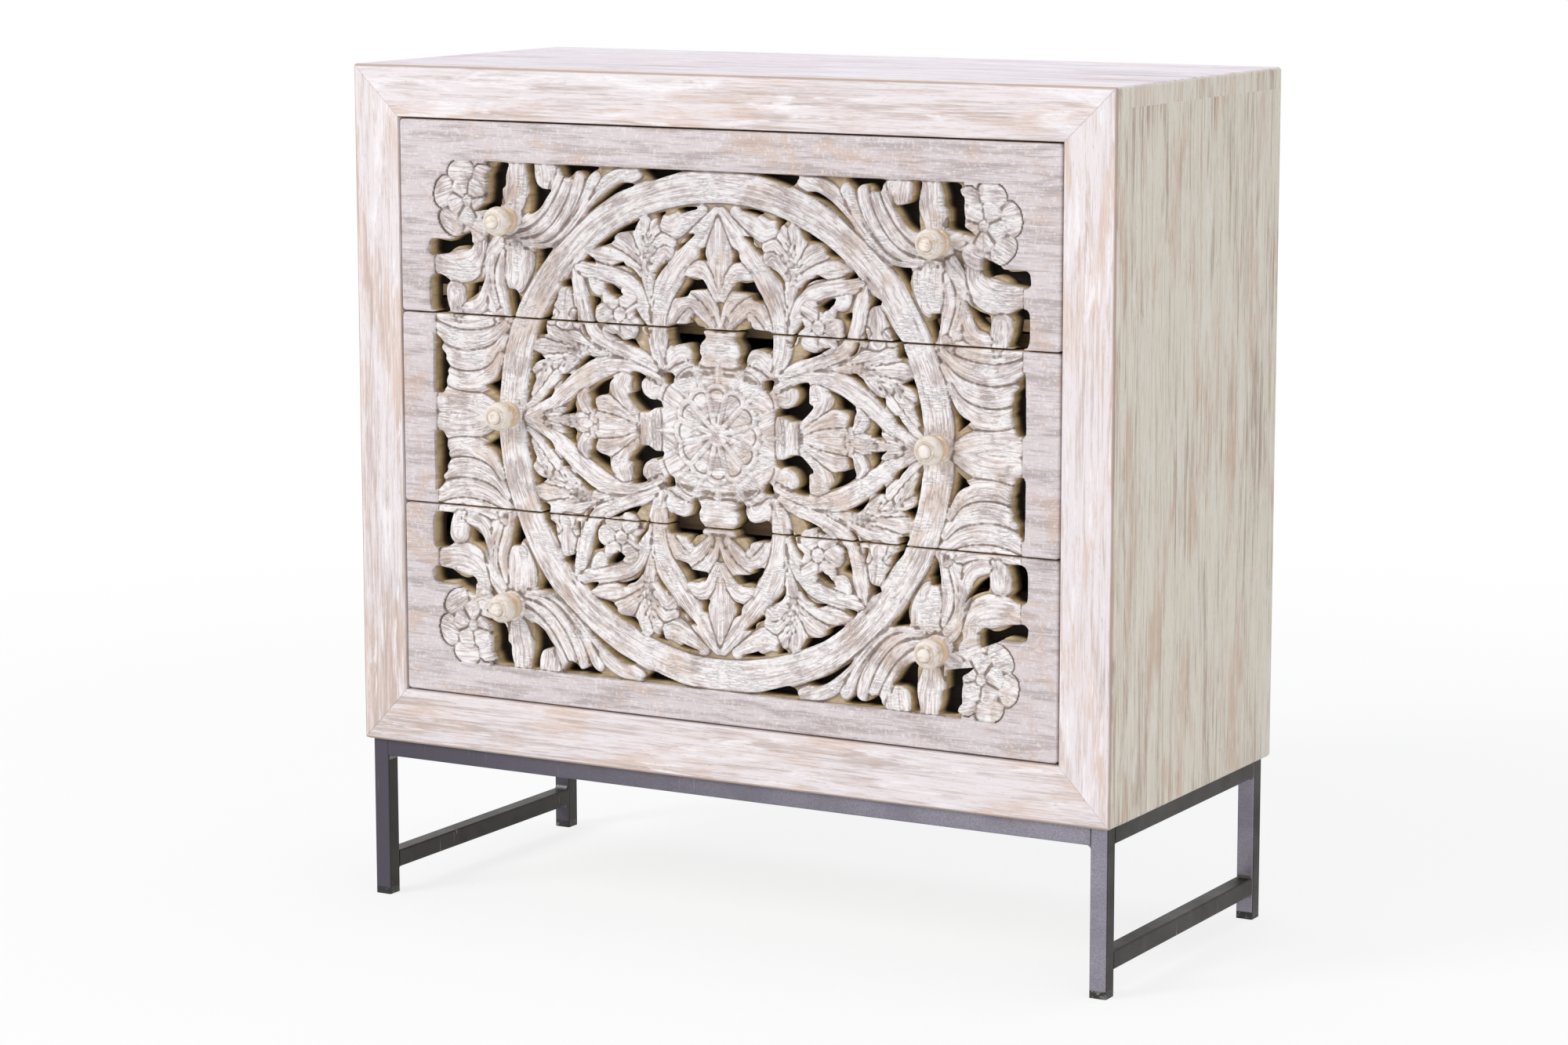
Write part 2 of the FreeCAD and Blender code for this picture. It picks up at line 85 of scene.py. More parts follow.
def add(tree, kind, sockets={}, out=0, **settings):
    """Adds one node and gives back one of its outputs. Settings are its own properties. Each socket
    takes a plain value, or a link where the value is another node's output."""
    made = tree.nodes.new("ShaderNode" + kind)
    for name, value in settings.items():
        setattr(made, name, value)
    for name, value in sockets.items():
        if isinstance(value, bpy.types.NodeSocket):
            tree.links.new(value, made.inputs[name])
        else:
            made.inputs[name].default_value = value
    return made.outputs[out] if made.outputs else None


def emptied(owner):
    """A new material or world, and its node tree, empty."""
    owner.use_nodes = True
    owner.node_tree.nodes.clear()
    return owner, owner.node_tree


def seen_white(tree):
    """1 on camera, glossy and transmission rays, and 0 on the rays that light the object."""
    either = add(tree, "Math", {0: add(tree, "LightPath", out="Is Camera Ray"),
                                1: add(tree, "LightPath", out="Is Glossy Ray")}, operation="MAXIMUM")
    through = add(tree, "LightPath", out="Is Transmission Ray")
    return add(tree, "Math", {0: either, 1: through}, operation="MAXIMUM")


world, tree = emptied(bpy.data.worlds.new("studio"))
bpy.context.scene.world = world
air = add(tree, "Background", {"Color": linear("#F6F7FF"), "Strength": 0.54})
white = add(tree, "Background", {"Color": linear("#FFFFFF"), "Strength": 1.0})
add(tree, "OutputWorld", {"Surface": add(tree, "MixShader", {0: seen_white(tree), 1: air, 2: white})})

floor_radii, sides = np.array([1.5, 6.0, 40.0]), 48
way = np.arange(sides) * 2 * pi / sides
rings = np.stack([np.outer(floor_radii, np.cos(way)), np.outer(floor_radii, np.sin(way)),
                  np.zeros((len(floor_radii), sides))], 2).reshape(-1, 3)
floor_faces = [tuple(range(sides))]
for ring in range(len(floor_radii) - 1):
    near, far = ring * sides, (ring + 1) * sides
    floor_faces += [(near + i, far + i, far + (i + 1) % sides, near + (i + 1) % sides)
                    for i in range(sides)]
floor_mesh = bpy.data.meshes.new("floor")
floor_mesh.from_pydata(rings.tolist(), [], floor_faces)
floor = bpy.data.objects.new("floor", floor_mesh)
bpy.context.collection.objects.link(floor)
floor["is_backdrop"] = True
# White background paper: matt, and plain white where the shadow under the chest has faded out.
shadow_starts_to_fade, shadow_gone = 0.7, 2.6
paper, tree = emptied(bpy.data.materials.new("white_paper_floor"))
matt = add(tree, "BsdfDiffuse", {"Color": linear("#F4F4F4")})
glow = add(tree, "Emission", {"Color": linear("#FFFFFF"), "Strength": 1.0})
away = add(tree, "VectorMath", {0: add(tree, "TexCoord", out="Object")}, out="Value", operation="LENGTH")
whiteness = add(tree, "MapRange", {0: away, 1: shadow_starts_to_fade, 2: shadow_gone, 3: 0.80, 4: 1.0},
                interpolation_type="SMOOTHSTEP")
whiteness = add(tree, "Math", {0: whiteness, 1: seen_white(tree)}, operation="MULTIPLY")
add(tree, "OutputMaterial", {"Surface": add(tree, "MixShader", {0: whiteness, 1: matt, 2: glow})})
floor_mesh.materials.append(paper)

lit_spot = Vector((0, 0, 0.5))
for name, place, size, watts in (("key_lamp", (-4.2, -6.4, 5.0), 3.2, 388.0),
                                 ("fill_lamp", (3.6, -2.4, 1.6), 2.2, 29.0),
                                 ("top_lamp", (0.3, 0.6, 3.6), 2.4, 28.0)):
    lamp = bpy.data.lights.new(name, "AREA")
    lamp.shape, lamp.size, lamp.energy = "DISK", size, watts
    holder = bpy.data.objects.new(name, lamp)
    towards = (lit_spot - Vector(place)).to_track_quat("-Z", "Y").to_matrix().to_4x4()
    holder.matrix_world = Matrix.Translation(place) @ towards
    bpy.context.collection.objects.link(holder)


# FACE FRAME
# Two stiles and two rails of solid mango wood, mitred at the corners, glued to the front of the case and
# whitewashed. The outer edges are rounded by hand, and each mitre shows as a hairline.
mm = 0.001


def extent(node):
    """The lowest and the highest corner of a CAD node at rest, in millimetres."""
    return [[round(value / mm, 2) for value in corner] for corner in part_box(node)]


(inner_right, front_y, _), (half_wide, frame_back_y, _) = extent("frame_right_stile")
inner_high, frame_high = (corner[2] for corner in extent("frame_top_rail"))
frame_low, inner_low = (corner[2] for corner in extent("frame_bottom_rail"))
frame_middle, half_tall = (frame_low + frame_high) / 2, (frame_high - frame_low) / 2
outer_corner = {"left": -half_wide, "right": half_wide, "bottom": frame_low, "top": frame_high}
inner_corner = {"left": -inner_right, "right": inner_right, "bottom": inner_low, "top": inner_high}
outer_round, inner_round, corner_radius, hairline, planed_off = 4.0, 1.2, 5.0, 0.45, 0.12


def piece(name, points, faces, body, nodes, material, attributes={}, sharp=42):
    """A mesh piece from points in millimetres, which moves with a body and stands for CAD nodes. Each
    array of faces has rows of one length, and attributes are one number or one vector for each point."""
    mesh = bpy.data.meshes.new(name)
    faces = [f for f in faces if len(f)]
    corners = np.concatenate([f.ravel() for f in faces]).astype(np.int32)
    lengths = np.concatenate([np.full(len(f), f.shape[1]) for f in faces])
    mesh.vertices.add(len(points))
    mesh.vertices.foreach_set("co", (np.asarray(points) * mm).astype(np.float32).ravel())
    mesh.loops.add(len(corners))
    mesh.loops.foreach_set("vertex_index", corners)
    mesh.polygons.add(len(lengths))
    mesh.polygons.foreach_set("loop_start", (np.cumsum(lengths) - lengths).astype(np.int32))
    mesh.update(calc_edges=True)
    mesh.shade_smooth()
    mesh.set_sharp_from_angle(angle=radians(sharp))
    for label, values in attributes.items():
        vector = np.ndim(values) == 2
        held = mesh.attributes.new(label, "FLOAT_VECTOR" if vector else "FLOAT", "POINT")
        held.data.foreach_set("vector" if vector else "value", np.asarray(values, np.float32).ravel())
    mesh.materials.append(material)
    made = bpy.data.objects.new(name, mesh)
    bpy.context.collection.objects.link(made)
    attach(made, body)
    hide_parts(*nodes)


def lofted(sections):
    """Quads between the neighbouring closed sections of an array (sections, points, 3), and an end cap
    on the first and the last of them."""
    rows, across = sections.shape[:2]
    i, j = np.meshgrid(np.arange(rows - 1), np.arange(across), indexing="ij")
    k = (j + 1) % across
    near, far = i * across, (i + 1) * across
    quads = np.stack([near + j, near + k, far + k, far + j], 2).reshape(-1, 4)
    first, last = np.arange(across)[None, ::-1], np.arange(across)[None] + (rows - 1) * across
    return [quads, first, last]


def patterns(tree, spot, sizes, start=0.0, unit=mm):
    """Noise patterns of real sizes: each has its features' size along X, Y and Z in millimetres, its
    detail, and how strongly it is distorted. The unit is a millimetre as the coordinates give it."""
    made = {}
    for name, (size, detail, distortion) in sizes.items():
        where = add(tree, "Mapping", {0: spot, 1: [start] * 3, 3: [1 / (s * unit) for s in size]})
        made[name] = add(tree, "TexNoise", {"Vector": where, "Scale": 1.0, "Detail": detail,
                                            "Roughness": 0.6, "Distortion": distortion})
    return made


def coats(tree, ground, layers):
    """Colour over colour. Each layer is a pattern, the values at which it starts and is full, its
    strength when full, and its colour."""
    for pattern, starts, full, strength, tint in layers:
        amount = add(tree, "MapRange", {0: pattern, 1: starts, 2: full, 4: strength},
                     interpolation_type="SMOOTHSTEP")
        tint = linear(tint) if isinstance(tint, str) else tint
        ground = add(tree, "Mix", {0: amount, 6: ground, 7: tint}, out=2, data_type="RGBA")
    return ground


def surface(tree, colour, relief, depth, rough_pattern, roughness, **shader):
    """The finished surface: colour, fine relief of so many millimetres, and a roughness that varies
    between two values. A shader setting goes on the socket of its name."""
    least, most = roughness
    normal = add(tree, "Bump", {"Height": relief, "Distance": depth * mm, "Strength": 0.8})
    rough = add(tree, "MapRange", {0: rough_pattern, 1: 0.3, 2: 0.7, 3: least, 4: most})
    sockets = {"Base Color": colour, "Normal": normal, "Roughness": rough} | shader
    add(tree, "OutputMaterial", {"Surface": add(tree, "BsdfPrincipled", sockets)})


def whitewash(tree, spot, grain, start, shades, bareness, ageing):
    """Brushed mango wood under a thin white wash. Bare patches, aged smudges and long streaks run along
    the grain, ragged where the fibres break them, and the wash lies thicker in clouds. Real fibres and
    pores are under 0.3 mm wide, and here 0.9 mm, so that they show. Gives the colour, the relief and
    the clouds."""
    sizes = {}
    for name, along, across, detail, distortion in (
            ("drift", 300, 70, 5.0, 0.6), ("patches", 150, 38, 5.0, 0.5), ("smudges", 170, 6, 5.0, 0.5),
            ("streaks", 100, 2.6, 4.0, 0.2), ("fibres", 24, 0.9, 4.0, 0.0), ("pores", 8, 0.9, 1.0, 0.0),
            ("clouds", 90, 16, 5.0, 0.6)):
        sizes[name] = ([along if axis == grain else across for axis in "XYZ"], detail, distortion)
    seen = patterns(tree, spot, sizes, start)
    lines = add(tree, "Math", {0: seen["fibres"], 1: 0.6, 2: seen["streaks"]}, operation="MULTIPLY_ADD")
    ragged = {name: add(tree, "Math", {0: lines, 1: share, 2: seen[name]}, operation="MULTIPLY_ADD")
              for name, share in (("patches", 0.9), ("smudges", 0.7), ("clouds", 0.9))}
    ragged["smudges"] = add(tree, "Math", {0: seen["drift"], 1: 0.8, 2: ragged["smudges"]},
                            operation="MULTIPLY_ADD")
    wash, bare, aged, thick = shades
    colour = coats(tree, linear(wash), (
        (seen["streaks"], 0.47, 0.65, 0.40, aged),
        (seen["patches"], 0.56 - 0.10 * bareness, 0.76 - 0.10 * bareness, 0.40, bare),
        (ragged["patches"], 1.30 - 0.12 * bareness, 1.46 - 0.12 * bareness, 0.55, bare),
        (seen["drift"], 0.60 - 0.12 * ageing, 0.85 - 0.12 * ageing, 0.22, aged),
        (ragged["smudges"], 1.48 - 0.12 * ageing, 1.80 - 0.12 * ageing, 0.80, aged),
        (ragged["clouds"], 1.26, 1.42, 0.80, thick),
        (seen["fibres"], 0.50, 0.70, 0.30, aged),
        (seen["pores"], 0.66, 0.76, 0.35, "#85756D")))
    relief = add(tree, "Math", {0: seen["pores"], 1: -0.5, 2: lines}, operation="MULTIPLY_ADD")
    return colour, relief, seen["clouds"]


# the wash, bare wood, aged wood, and the wash where it lies thick
front_shades = ("#E7DFDF", "#D8BCA9", "#BAA9A0", "#F8F4F5")
side_shades = ("#E9E2D1", "#D6B9A3", "#A8937F", "#F0ECE0")
top_shades = ("#E8E1E6", "#DFC7BC", "#B1A3A5", "#F8F4F8")


def washed_board(name, grain, start, shades, bareness, ageing, end=()):
    """A washed board, worn through to brown along its arrises where it has the attribute. With an end, a
    start, bareness and ageing, its faces at the sides of the chest are washed as the side boards are."""
    made, tree = emptied(bpy.data.materials.new(name))
    spot = add(tree, "TexCoord", out="Object")
    colour, relief, clouds = whitewash(tree, spot, grain, start, shades, bareness, ageing)
    if end:
        end_colour, end_relief, _ = whitewash(tree, spot, "Z", end[0], side_shades, *end[1:])
        outwards = add(tree, "Math", {0: add(tree, "SeparateXYZ", {0: spot})}, operation="ABSOLUTE")
        ended = add(tree, "MapRange", {0: outwards, 1: (half_wide - 1.8) * mm, 2: (half_wide - 0.6) * mm})
        colour = add(tree, "Mix", {0: ended, 6: colour, 7: end_colour}, out=2, data_type="RGBA")
        relief = add(tree, "Mix", {0: ended, 2: relief, 3: end_relief})
    arris = add(tree, "Attribute", out="Fac", attribute_name="arris")
    worn = add(tree, "Math", {0: clouds, 1: 0.9, 2: arris}, operation="MULTIPLY_ADD")
    colour = coats(tree, colour, ((worn, 0.85, 1.40, 0.85, "#AD9686"),))
    surface(tree, colour, relief, 0.4, clouds, (0.62, 0.78), IOR=1.45)
    return made


rng = np.random.default_rng(7)


def frame_member(side, ends, horizontal):
    """A section with a big round on its outer front edge and a small one on its inner edge, carried
    from one mitre to the other; each line along it runs from mitre to mitre. The outer corners of the
    frame are drawn in to a radius, and the face has slow waves from the plane. Gives the sections and
    how near each point is to the middle of a rounded arris."""
    width = abs(outer_corner[side] - inner_corner[side])
    quarter = np.linspace(0, pi / 2, 7)
    down, up = 1 - np.cos(quarter), 1 - np.sin(quarter)
    outer = np.stack([outer_round * down, front_y + outer_round * up], 1)
    inner = np.stack([width - inner_round * up, front_y + inner_round * down], 1)
    face = np.stack([np.linspace(outer_round, width - inner_round, 6)[1:-1], np.full(4, front_y)], 1)
    section = np.vstack([[0.0, frame_back_y], outer, face, inner, [width, frame_back_y]])
    arris = np.concatenate([[0.0], np.sin(2 * quarter), np.zeros(4), 0.8 * np.sin(2 * quarter), [0.0]])
    length = abs(outer_corner[ends[1]] - outer_corner[ends[0]])
    close = np.concatenate([[0, hairline], np.arange(1.2, corner_radius + 2, 0.8)]) / length
    steps = np.concatenate([close, np.linspace(close[-1], 1 - close[-1], 60)[1:-1], 1 - close[::-1]])
    sections = np.empty((len(steps), len(section), 3))
    for row, step in enumerate(steps):
        s, y = section.T
        if step in (0, 1):
            s = np.clip(s, hairline, width - hairline)
            y = np.clip(y, front_y + hairline, frame_back_y)
        share = s / width
        across = outer_corner[side] + (inner_corner[side] - outer_corner[side]) * share
        a, b = (outer_corner[e] + (inner_corner[e] - outer_corner[e]) * share for e in ends)
        along = a + (b - a) * step
        sections[row] = np.stack([along, y, across] if horizontal else [across, y, along], 1)
    out_x = np.abs(sections[:, :, 0]) - half_wide + corner_radius
    out_z = np.abs(sections[:, :, 2] - frame_middle) - half_tall + corner_radius
    past = np.hypot(np.maximum(out_x, 0), np.maximum(out_z, 0))
    cut = np.where((out_x > 0) & (out_z > 0) & (past > corner_radius),
                   corner_radius / np.maximum(past, 1e-9), 1)
    sections[:, :, 0] -= np.sign(sections[:, :, 0]) * np.where(cut < 1, out_x * (1 - cut), 0)
    sections[:, :, 2] -= np.sign(sections[:, :, 2] - frame_middle) * np.where(cut < 1, out_z * (1 - cut), 0)
    waves = np.sin(sections[:, :, 0] / 31 + sections[:, :, 2] / 47 + 2.0 * rng.random())
    sections[:, :, 1] += np.where(section[None, :, 1] < frame_back_y - 1, planed_off * (1 + waves), 0)
    return sections, np.tile(arris, len(steps))


for side, ends, start, bareness, ageing in (
        ("top", ("left", "right"), 1.3, 0.60, 0.90), ("bottom", ("left", "right"), 5.9, 0.95, 1.00),
        ("left", ("bottom", "top"), 9.1, 0.80, 0.90), ("right", ("bottom", "top"), 14.2, 0.80, 0.00)):
    horizontal = side in ("top", "bottom")
    name = "frame_" + side + ("_rail" if horizontal else "_stile")
    wood = washed_board("washed_mango_" + name, "X" if horizontal else "Z", start, front_shades,
                        bareness, ageing, (44.6, 0.6, 0.5))
    sections, arris = frame_member(side, ends, horizontal)
    faces = lofted(sections)
    # these two are carried the other way round, so their faces are turned to look outwards
    if side in ("top", "left"):
        faces = [f[:, ::-1] for f in faces]
    piece(name + "_wood", sections.reshape(-1, 3), faces, "cabinet", (name,), wood,
          {"arris": arris})


# CASE
# Solid mango boards behind the frame: the top and the two sides are whitewashed and planed flush with
# the frame, the bottom is hidden by the base, and a thin stained panel closes the back.
def dressed(nodes, material):
    """Gives CAD nodes a finish on their own material slots."""
    for node in nodes:
        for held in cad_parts[node].material_slots:
            held.material = material


for node, grain, start, shades, bareness, ageing, end in (
        ("top_board", "X", 21.7, top_shades, 0.25, 0.40, (51.3, 0.6, 0.4)),
        ("right_side_board", "Z", 27.4, side_shades, 0.6, 0.6, ()),
        ("left_side_board", "Z", 33.8, side_shades, 0.5, 0.6, ()),
        ("bottom_board", "X", 38.2, side_shades, 0.8, 0.7, ())):
    dressed([node], washed_board("washed_mango_" + node, grain, start, shades, bareness, ageing, end))


def plain_wood(name, grain, start, pale, dark, roughness):
    """Sawn wood without a wash: long soft bands, finer fibres, and short dark pores along the grain,
    drawn coarser than they are so that they show."""
    made, tree = emptied(bpy.data.materials.new(name))
    sizes = {label: ([along if axis == grain else across for axis in "XYZ"], detail, 0.3)
             for label, along, across, detail in (("bands", 300, 16, 4.0), ("fibres", 50, 1.6, 3.0),
                                                  ("pores", 12, 0.9, 1.0))}
    seen = patterns(tree, add(tree, "TexCoord", out="Object"), sizes, start)
    colour = coats(tree, linear(pale), (
        (seen["bands"], 0.38, 0.66, 1.0, dark), (seen["fibres"], 0.5, 0.72, 0.45, dark),
        (seen["pores"], 0.62, 0.72, 0.5, "#4A3425")))
    surface(tree, colour, seen["fibres"], 0.3, seen["bands"], (roughness - 0.08, roughness + 0.08), IOR=1.45)
    return made


dressed(["back_panel"], plain_wood("dark_stained_plywood_back", "Z", 2.2, "#3A2E27", "#1F1712", 0.62))
dressed(["divider_rail_1", "divider_rail_2"],
        plain_wood("sawn_mango_dividers", "X", 4.4, "#CDB491", "#A98B66", 0.72))
runners = [f"runner_{n}_{side}" for n in (1, 2, 3) for side in ("left", "right")]
dressed(runners, plain_wood("sawn_mango_runners", "Y", 6.1, "#C9AD86", "#9F7F5A", 0.66))

# Zinc-plated steel screws: a grey-blue passivated sheen with faint cloudy blotches.
zinc, tree = emptied(bpy.data.materials.new("zinc_plated_steel_screws"))
seen = patterns(tree, add(tree, "TexCoord", out="Object"), {"blotches": ([4] * 3, 3.0, 0.0)})
colour = coats(tree, linear("#A9ABAC"), ((seen["blotches"], 0.4, 0.6, 1.0, "#C4C3BD"),))
surface(tree, colour, seen["blotches"], 0.04, seen["blotches"], (0.24, 0.44), Metallic=1.0)
dressed(["back_panel_screws", "base_screws"] + [f"drawer_{n}_knob_screws" for n in (1, 2, 3)], zinc)


# BASE
# A welded stand of square mild-steel tube, blackened and clear lacquered. Its front faces are a pale
# gunmetal, painted light where the lamps fall on them, darker towards the chest's left end as painted shade;
# the others stay dark brown, with a few scratches. Plastic caps close the feet. The grit of the finish is
# drawn 0.9 mm wide, coarser than it is, so that it shows.
def off(tree, value, level):
    """How far a value is off a level, above or below."""
    difference = add(tree, "Math", {0: value, 1: level}, operation="SUBTRACT")
    return add(tree, "Math", {0: difference}, operation="ABSOLUTE")


tube_fronts = [extent(f"leg_{end}_left")[0][1] for end in ("front", "back")]
tubes = [f"leg_{end}_{side}" for end in ("front", "back") for side in ("left", "right")]
tubes += ["base_left_rail", "base_right_rail", "base_left_stretcher", "base_right_stretcher",
          "base_front_rail", "base_back_rail", "mounting_tabs"]
for name, nodes, dark, pale, brown in (
        ("blackened_steel_tube", tubes, "#28231F", "#35302A", "#1F1915"),
        ("ground_weld_bead", ["weld_beads"], "#6A6564", "#8B8783", "#5E554C")):
    steel, tree = emptied(bpy.data.materials.new(name))
    spot = add(tree, "TexCoord", out="Object")
    seen = patterns(tree, spot, {"grit": ([0.9] * 3, 3.0, 0.0), "clouds": ([60] * 3, 5.0, 0.3),
                                 "scratches": ([1.2, 6, 70], 2.0, 0.8)})
    back = coats(tree, linear(dark), ((seen["grit"], 0.35, 0.7, 1.0, pale),
                                      (seen["clouds"], 0.48, 0.70, 0.7, brown)))
    # the pale front faces, painted light, and painted shade darker towards the chest's left end
    leftwards = add(tree, "Math", {0: add(tree, "SeparateXYZ", {0: spot}), 1: -1.0}, operation="MULTIPLY")
    front = coats(tree, linear("#7B7883"), (
        (seen["grit"], 0.30, 0.70, 1.0, "#A09DA9"), (seen["clouds"], 0.45, 0.70, 0.5, "#76707A"),
        (leftwards, -420 * mm, 460 * mm, 1.0, "#4E4A54")))
    inwards = add(tree, "SeparateXYZ", {0: spot}, out=1)
    nearest = add(tree, "Math", {place: off(tree, inwards, y * mm) for place, y in enumerate(tube_fronts)},
                  operation="MINIMUM")
    # painted light: the pale colour goes on the tubes' front faces only
    painted_highlight = add(tree, "MapRange", {0: nearest, 1: 0.1 * mm, 2: 1.4 * mm, 3: 1.0, 4: 0.0},
                 interpolation_type="SMOOTHSTEP")
    colour = coats(tree, back, ((painted_highlight, 0.0, 1.0, 1.0, front),
                                (seen["scratches"], 0.70, 0.76, 0.6, "#A9A5A8")))
    surface(tree, colour, seen["grit"], 0.08, seen["clouds"], (0.36, 0.52), Metallic=0.55)
    dressed(nodes, steel)

# Moulded black polythene, matt, with pale scuffs from the floor.
caps, tree = emptied(bpy.data.materials.new("black_moulded_polythene_caps"))
seen = patterns(tree, add(tree, "TexCoord", out="Object"), {"scuffs": ([6] * 3, 6.0, 0.4)})
colour = coats(tree, linear("#1E1C1B"), ((seen["scuffs"], 0.56, 0.66, 0.60, "#8F8A82"),))
surface(tree, colour, seen["scuffs"], 0.2, seen["scuffs"], (0.35, 0.6))
dressed(["foot_caps"], caps)

# DRAWER BOXES
# Open boxes that slide on wooden runners: sawn mango sides, back and bottom, left bare, joined to a board
# stained nearly black, which carries the carved front and shows through its openwork.
boxes = [f"drawer_{n}_box_{part}" for n in (1, 2, 3) for part in ("left_side", "right_side")]
dressed(boxes, plain_wood("sawn_mango_box_sides", "Y", 8.8, "#D3BC9A", "#B0946E", 0.7))
boxes = [f"drawer_{n}_box_{part}" for n in (1, 2, 3) for part in ("back", "bottom")]
dressed(boxes, plain_wood("sawn_mango_box_back_and_bottom", "X", 10.3, "#D6C1A1", "#B59A76", 0.7))
dressed([f"drawer_{n}_backing_board" for n in (1, 2, 3)],
        plain_wood("dark_stained_backing_board", "X", 12.9, "#1E1612", "#0E0A08", 0.8))

# CARVED DRAWER FRONTS
# One openwork panel of acanthus leaves round a rosette in a ring, carved across three planks of mango
# wood, then painted chalk white, crackled along the forms and rubbed back. The left, right, upper and
# lower quarters are one drawing, mirrored; a slow drift makes each a little different, as carved by eye.
# the outline of each opening in a quarter, as (outwards, upwards) from the middle of the rosette
openings = [
    # inside the ring
    [(193, 149), (179, 155), (177, 147), (175, 137), (182, 143), (191, 144)],
    [(194, 139), (195, 131), (200, 124), (201, 112), (204, 108), (208, 107), (209, 99), (207, 91),
     (223, 89), (219, 97), (216, 108), (205, 120), (198, 133)],
    [(171, 127), (170, 110), (170, 106), (175, 106), (175, 110), (173, 118)],
    [(165, 171), (160, 177), (158, 180), (146, 168), (155, 169)],
    [(131, 166), (114, 172), (111, 167), (104, 165), (98, 160), (95, 153), (92, 144), (98, 153),
     (105, 161), (115, 166)],
    [(158, 136), (144, 133), (144, 128), (151, 124), (151, 116), (143, 107), (150, 107), (153, 118),
     (156, 127)],
    [(139, 149), (127, 147), (119, 142), (113, 137), (120, 134), (123, 131), (126, 135), (132, 137),
     (136, 143)],
    [(99, 124), (96, 120), (90, 111), (85, 106), (84, 98), (82, 91), (86, 95), (90, 101), (92, 107),
     (96, 112), (102, 116)],
    [(150, 186), (136, 196), (122, 205), (106, 212), (92, 218), (97, 211), (100, 204), (106, 203),
     (120, 201), (124, 197), (124, 193), (130, 190), (140, 187)],
    [(79, 223), (64, 226), (67, 222), (68, 216), (70, 211), (75, 219)],
    [(53, 229), (42, 232), (24, 233), (26, 230), (38, 227), (45, 224), (48, 227)],
    [(39, 204), (26, 205), (35, 197), (42, 191), (50, 184), (51, 191), (44, 194), (41, 197)],
    [(15, 194), (17, 184), (13, 176), (26, 177), (24, 182), (24, 189), (18, 191)],
    [(39, 160), (35, 157), (28, 156), (19, 158), (15, 147), (26, 146), (36, 145), (38, 139), (46, 137),
     (54, 135), (49, 143), (42, 151)],
    [(63, 109), (38, 110), (36, 120), (33, 114), (29, 109), (18, 108), (20, 104), (16, 99), (23, 91),
     (24, 84), (20, 77), (28, 67), (33, 71), (32, 79), (36, 88), (42, 90), (51, 88), (56, 85), (61, 91)],
    [(66, 60), (51, 58), (54, 48), (63, 46)],
    [(107, 59), (96, 58), (86, 54), (93, 49), (94, 44), (91, 36), (82, 30), (69, 31), (66, 22), (78, 22),
     (85, 17), (97, 17), (107, 26), (113, 34), (105, 37), (104, 46)],
    [(125, 53), (133, 46), (136, 40), (137, 32), (147, 31), (152, 28), (152, 24), (149, 15), (158, 16),
     (158, 27), (162, 34), (147, 45)],
    [(177, 26), (180, 18), (176, 7), (186, 7), (197, 4), (190, 10), (187, 17), (182, 24)],
    [(225, 73), (217, 68), (210, 64), (217, 63), (224, 59), (229, 53), (228, 46), (224, 42), (228, 35),
     (231, 27), (236, 19), (238, 19), (235, 30), (233, 42), (232, 50), (230, 62), (227, 67)],
    [(209, 33), (201, 33), (206, 24), (214, 20), (221, 16), (219, 20), (213, 26)],
    [(194, 50), (188, 50), (180, 51), (177, 52), (174, 58), (171, 63), (166, 69), (160, 73), (148, 70),
     (156, 67), (165, 61), (173, 56), (184, 47), (190, 41), (193, 38), (194, 43)],
    [(166, 105), (161, 106), (158, 97), (152, 90), (156, 90), (162, 95)],
    [(135, 99), (126, 96), (121, 97), (117, 91), (111, 90), (103, 93), (101, 88), (95, 81), (106, 84),
     (116, 88), (125, 93)],
    [(59, 173), (67, 171), (74, 166), (77, 160), (78, 151), (74, 157), (69, 163), (62, 170)],
    # between the ring and the corner
    [(276, 269), (254, 269), (257, 262), (259, 255), (259, 245), (264, 242), (264, 233), (264, 222),
     (275, 220), (286, 218), (299, 216), (292, 222), (285, 226), (284, 235), (283, 246), (284, 255),
     (281, 257)],
    [(236, 269), (224, 269), (225, 257), (221, 248), (213, 244), (201, 244), (206, 238), (212, 229),
     (216, 224), (223, 219), (232, 216), (230, 229), (231, 247), (234, 260)],
    [(196, 269), (192, 265), (190, 258), (182, 255), (177, 261), (173, 264), (167, 263), (162, 259),
     (160, 255), (156, 259), (151, 264), (144, 269)],
    [(98, 269), (89, 261), (84, 256), (76, 258), (67, 261), (54, 265), (41, 269)],
    [(160, 218), (154, 227), (144, 236), (133, 245), (125, 250), (116, 254), (105, 254), (101, 251),
     (109, 248), (120, 244), (129, 239), (136, 234), (151, 225)],
    [(225, 182), (216, 182), (199, 185), (207, 177), (214, 167), (219, 162), (224, 155), (221, 166),
     (222, 173)],
    [(259, 137), (246, 137), (246, 130), (242, 129), (246, 120), (249, 108), (254, 108), (257, 119),
     (259, 130)],
    [(356, 186), (343, 184), (331, 183), (324, 189), (315, 192), (304, 197), (302, 191), (302, 184),
     (305, 177), (309, 175), (316, 179), (324, 178), (331, 174), (334, 170), (344, 169), (354, 167),
     (358, 171), (357, 180)],
    [(357, 147), (346, 148), (341, 147), (333, 142), (338, 137), (337, 130), (336, 122), (334, 116),
     (331, 108), (357, 108)],
    [(285, 154), (287, 146), (291, 138), (297, 131), (304, 126), (312, 122), (311, 133), (310, 139),
     (300, 141), (294, 144), (289, 148)],
    [(350, 84), (344, 78), (344, 69), (337, 63), (338, 57), (335, 53), (336, 44), (334, 42), (337, 37),
     (338, 29), (342, 20), (354, 20), (353, 51), (353, 85)],
    [(267, 58), (268, 49), (271, 38), (273, 24), (273, 19), (279, 24), (288, 30), (291, 32), (283, 35),
     (276, 40), (271, 48)],
]
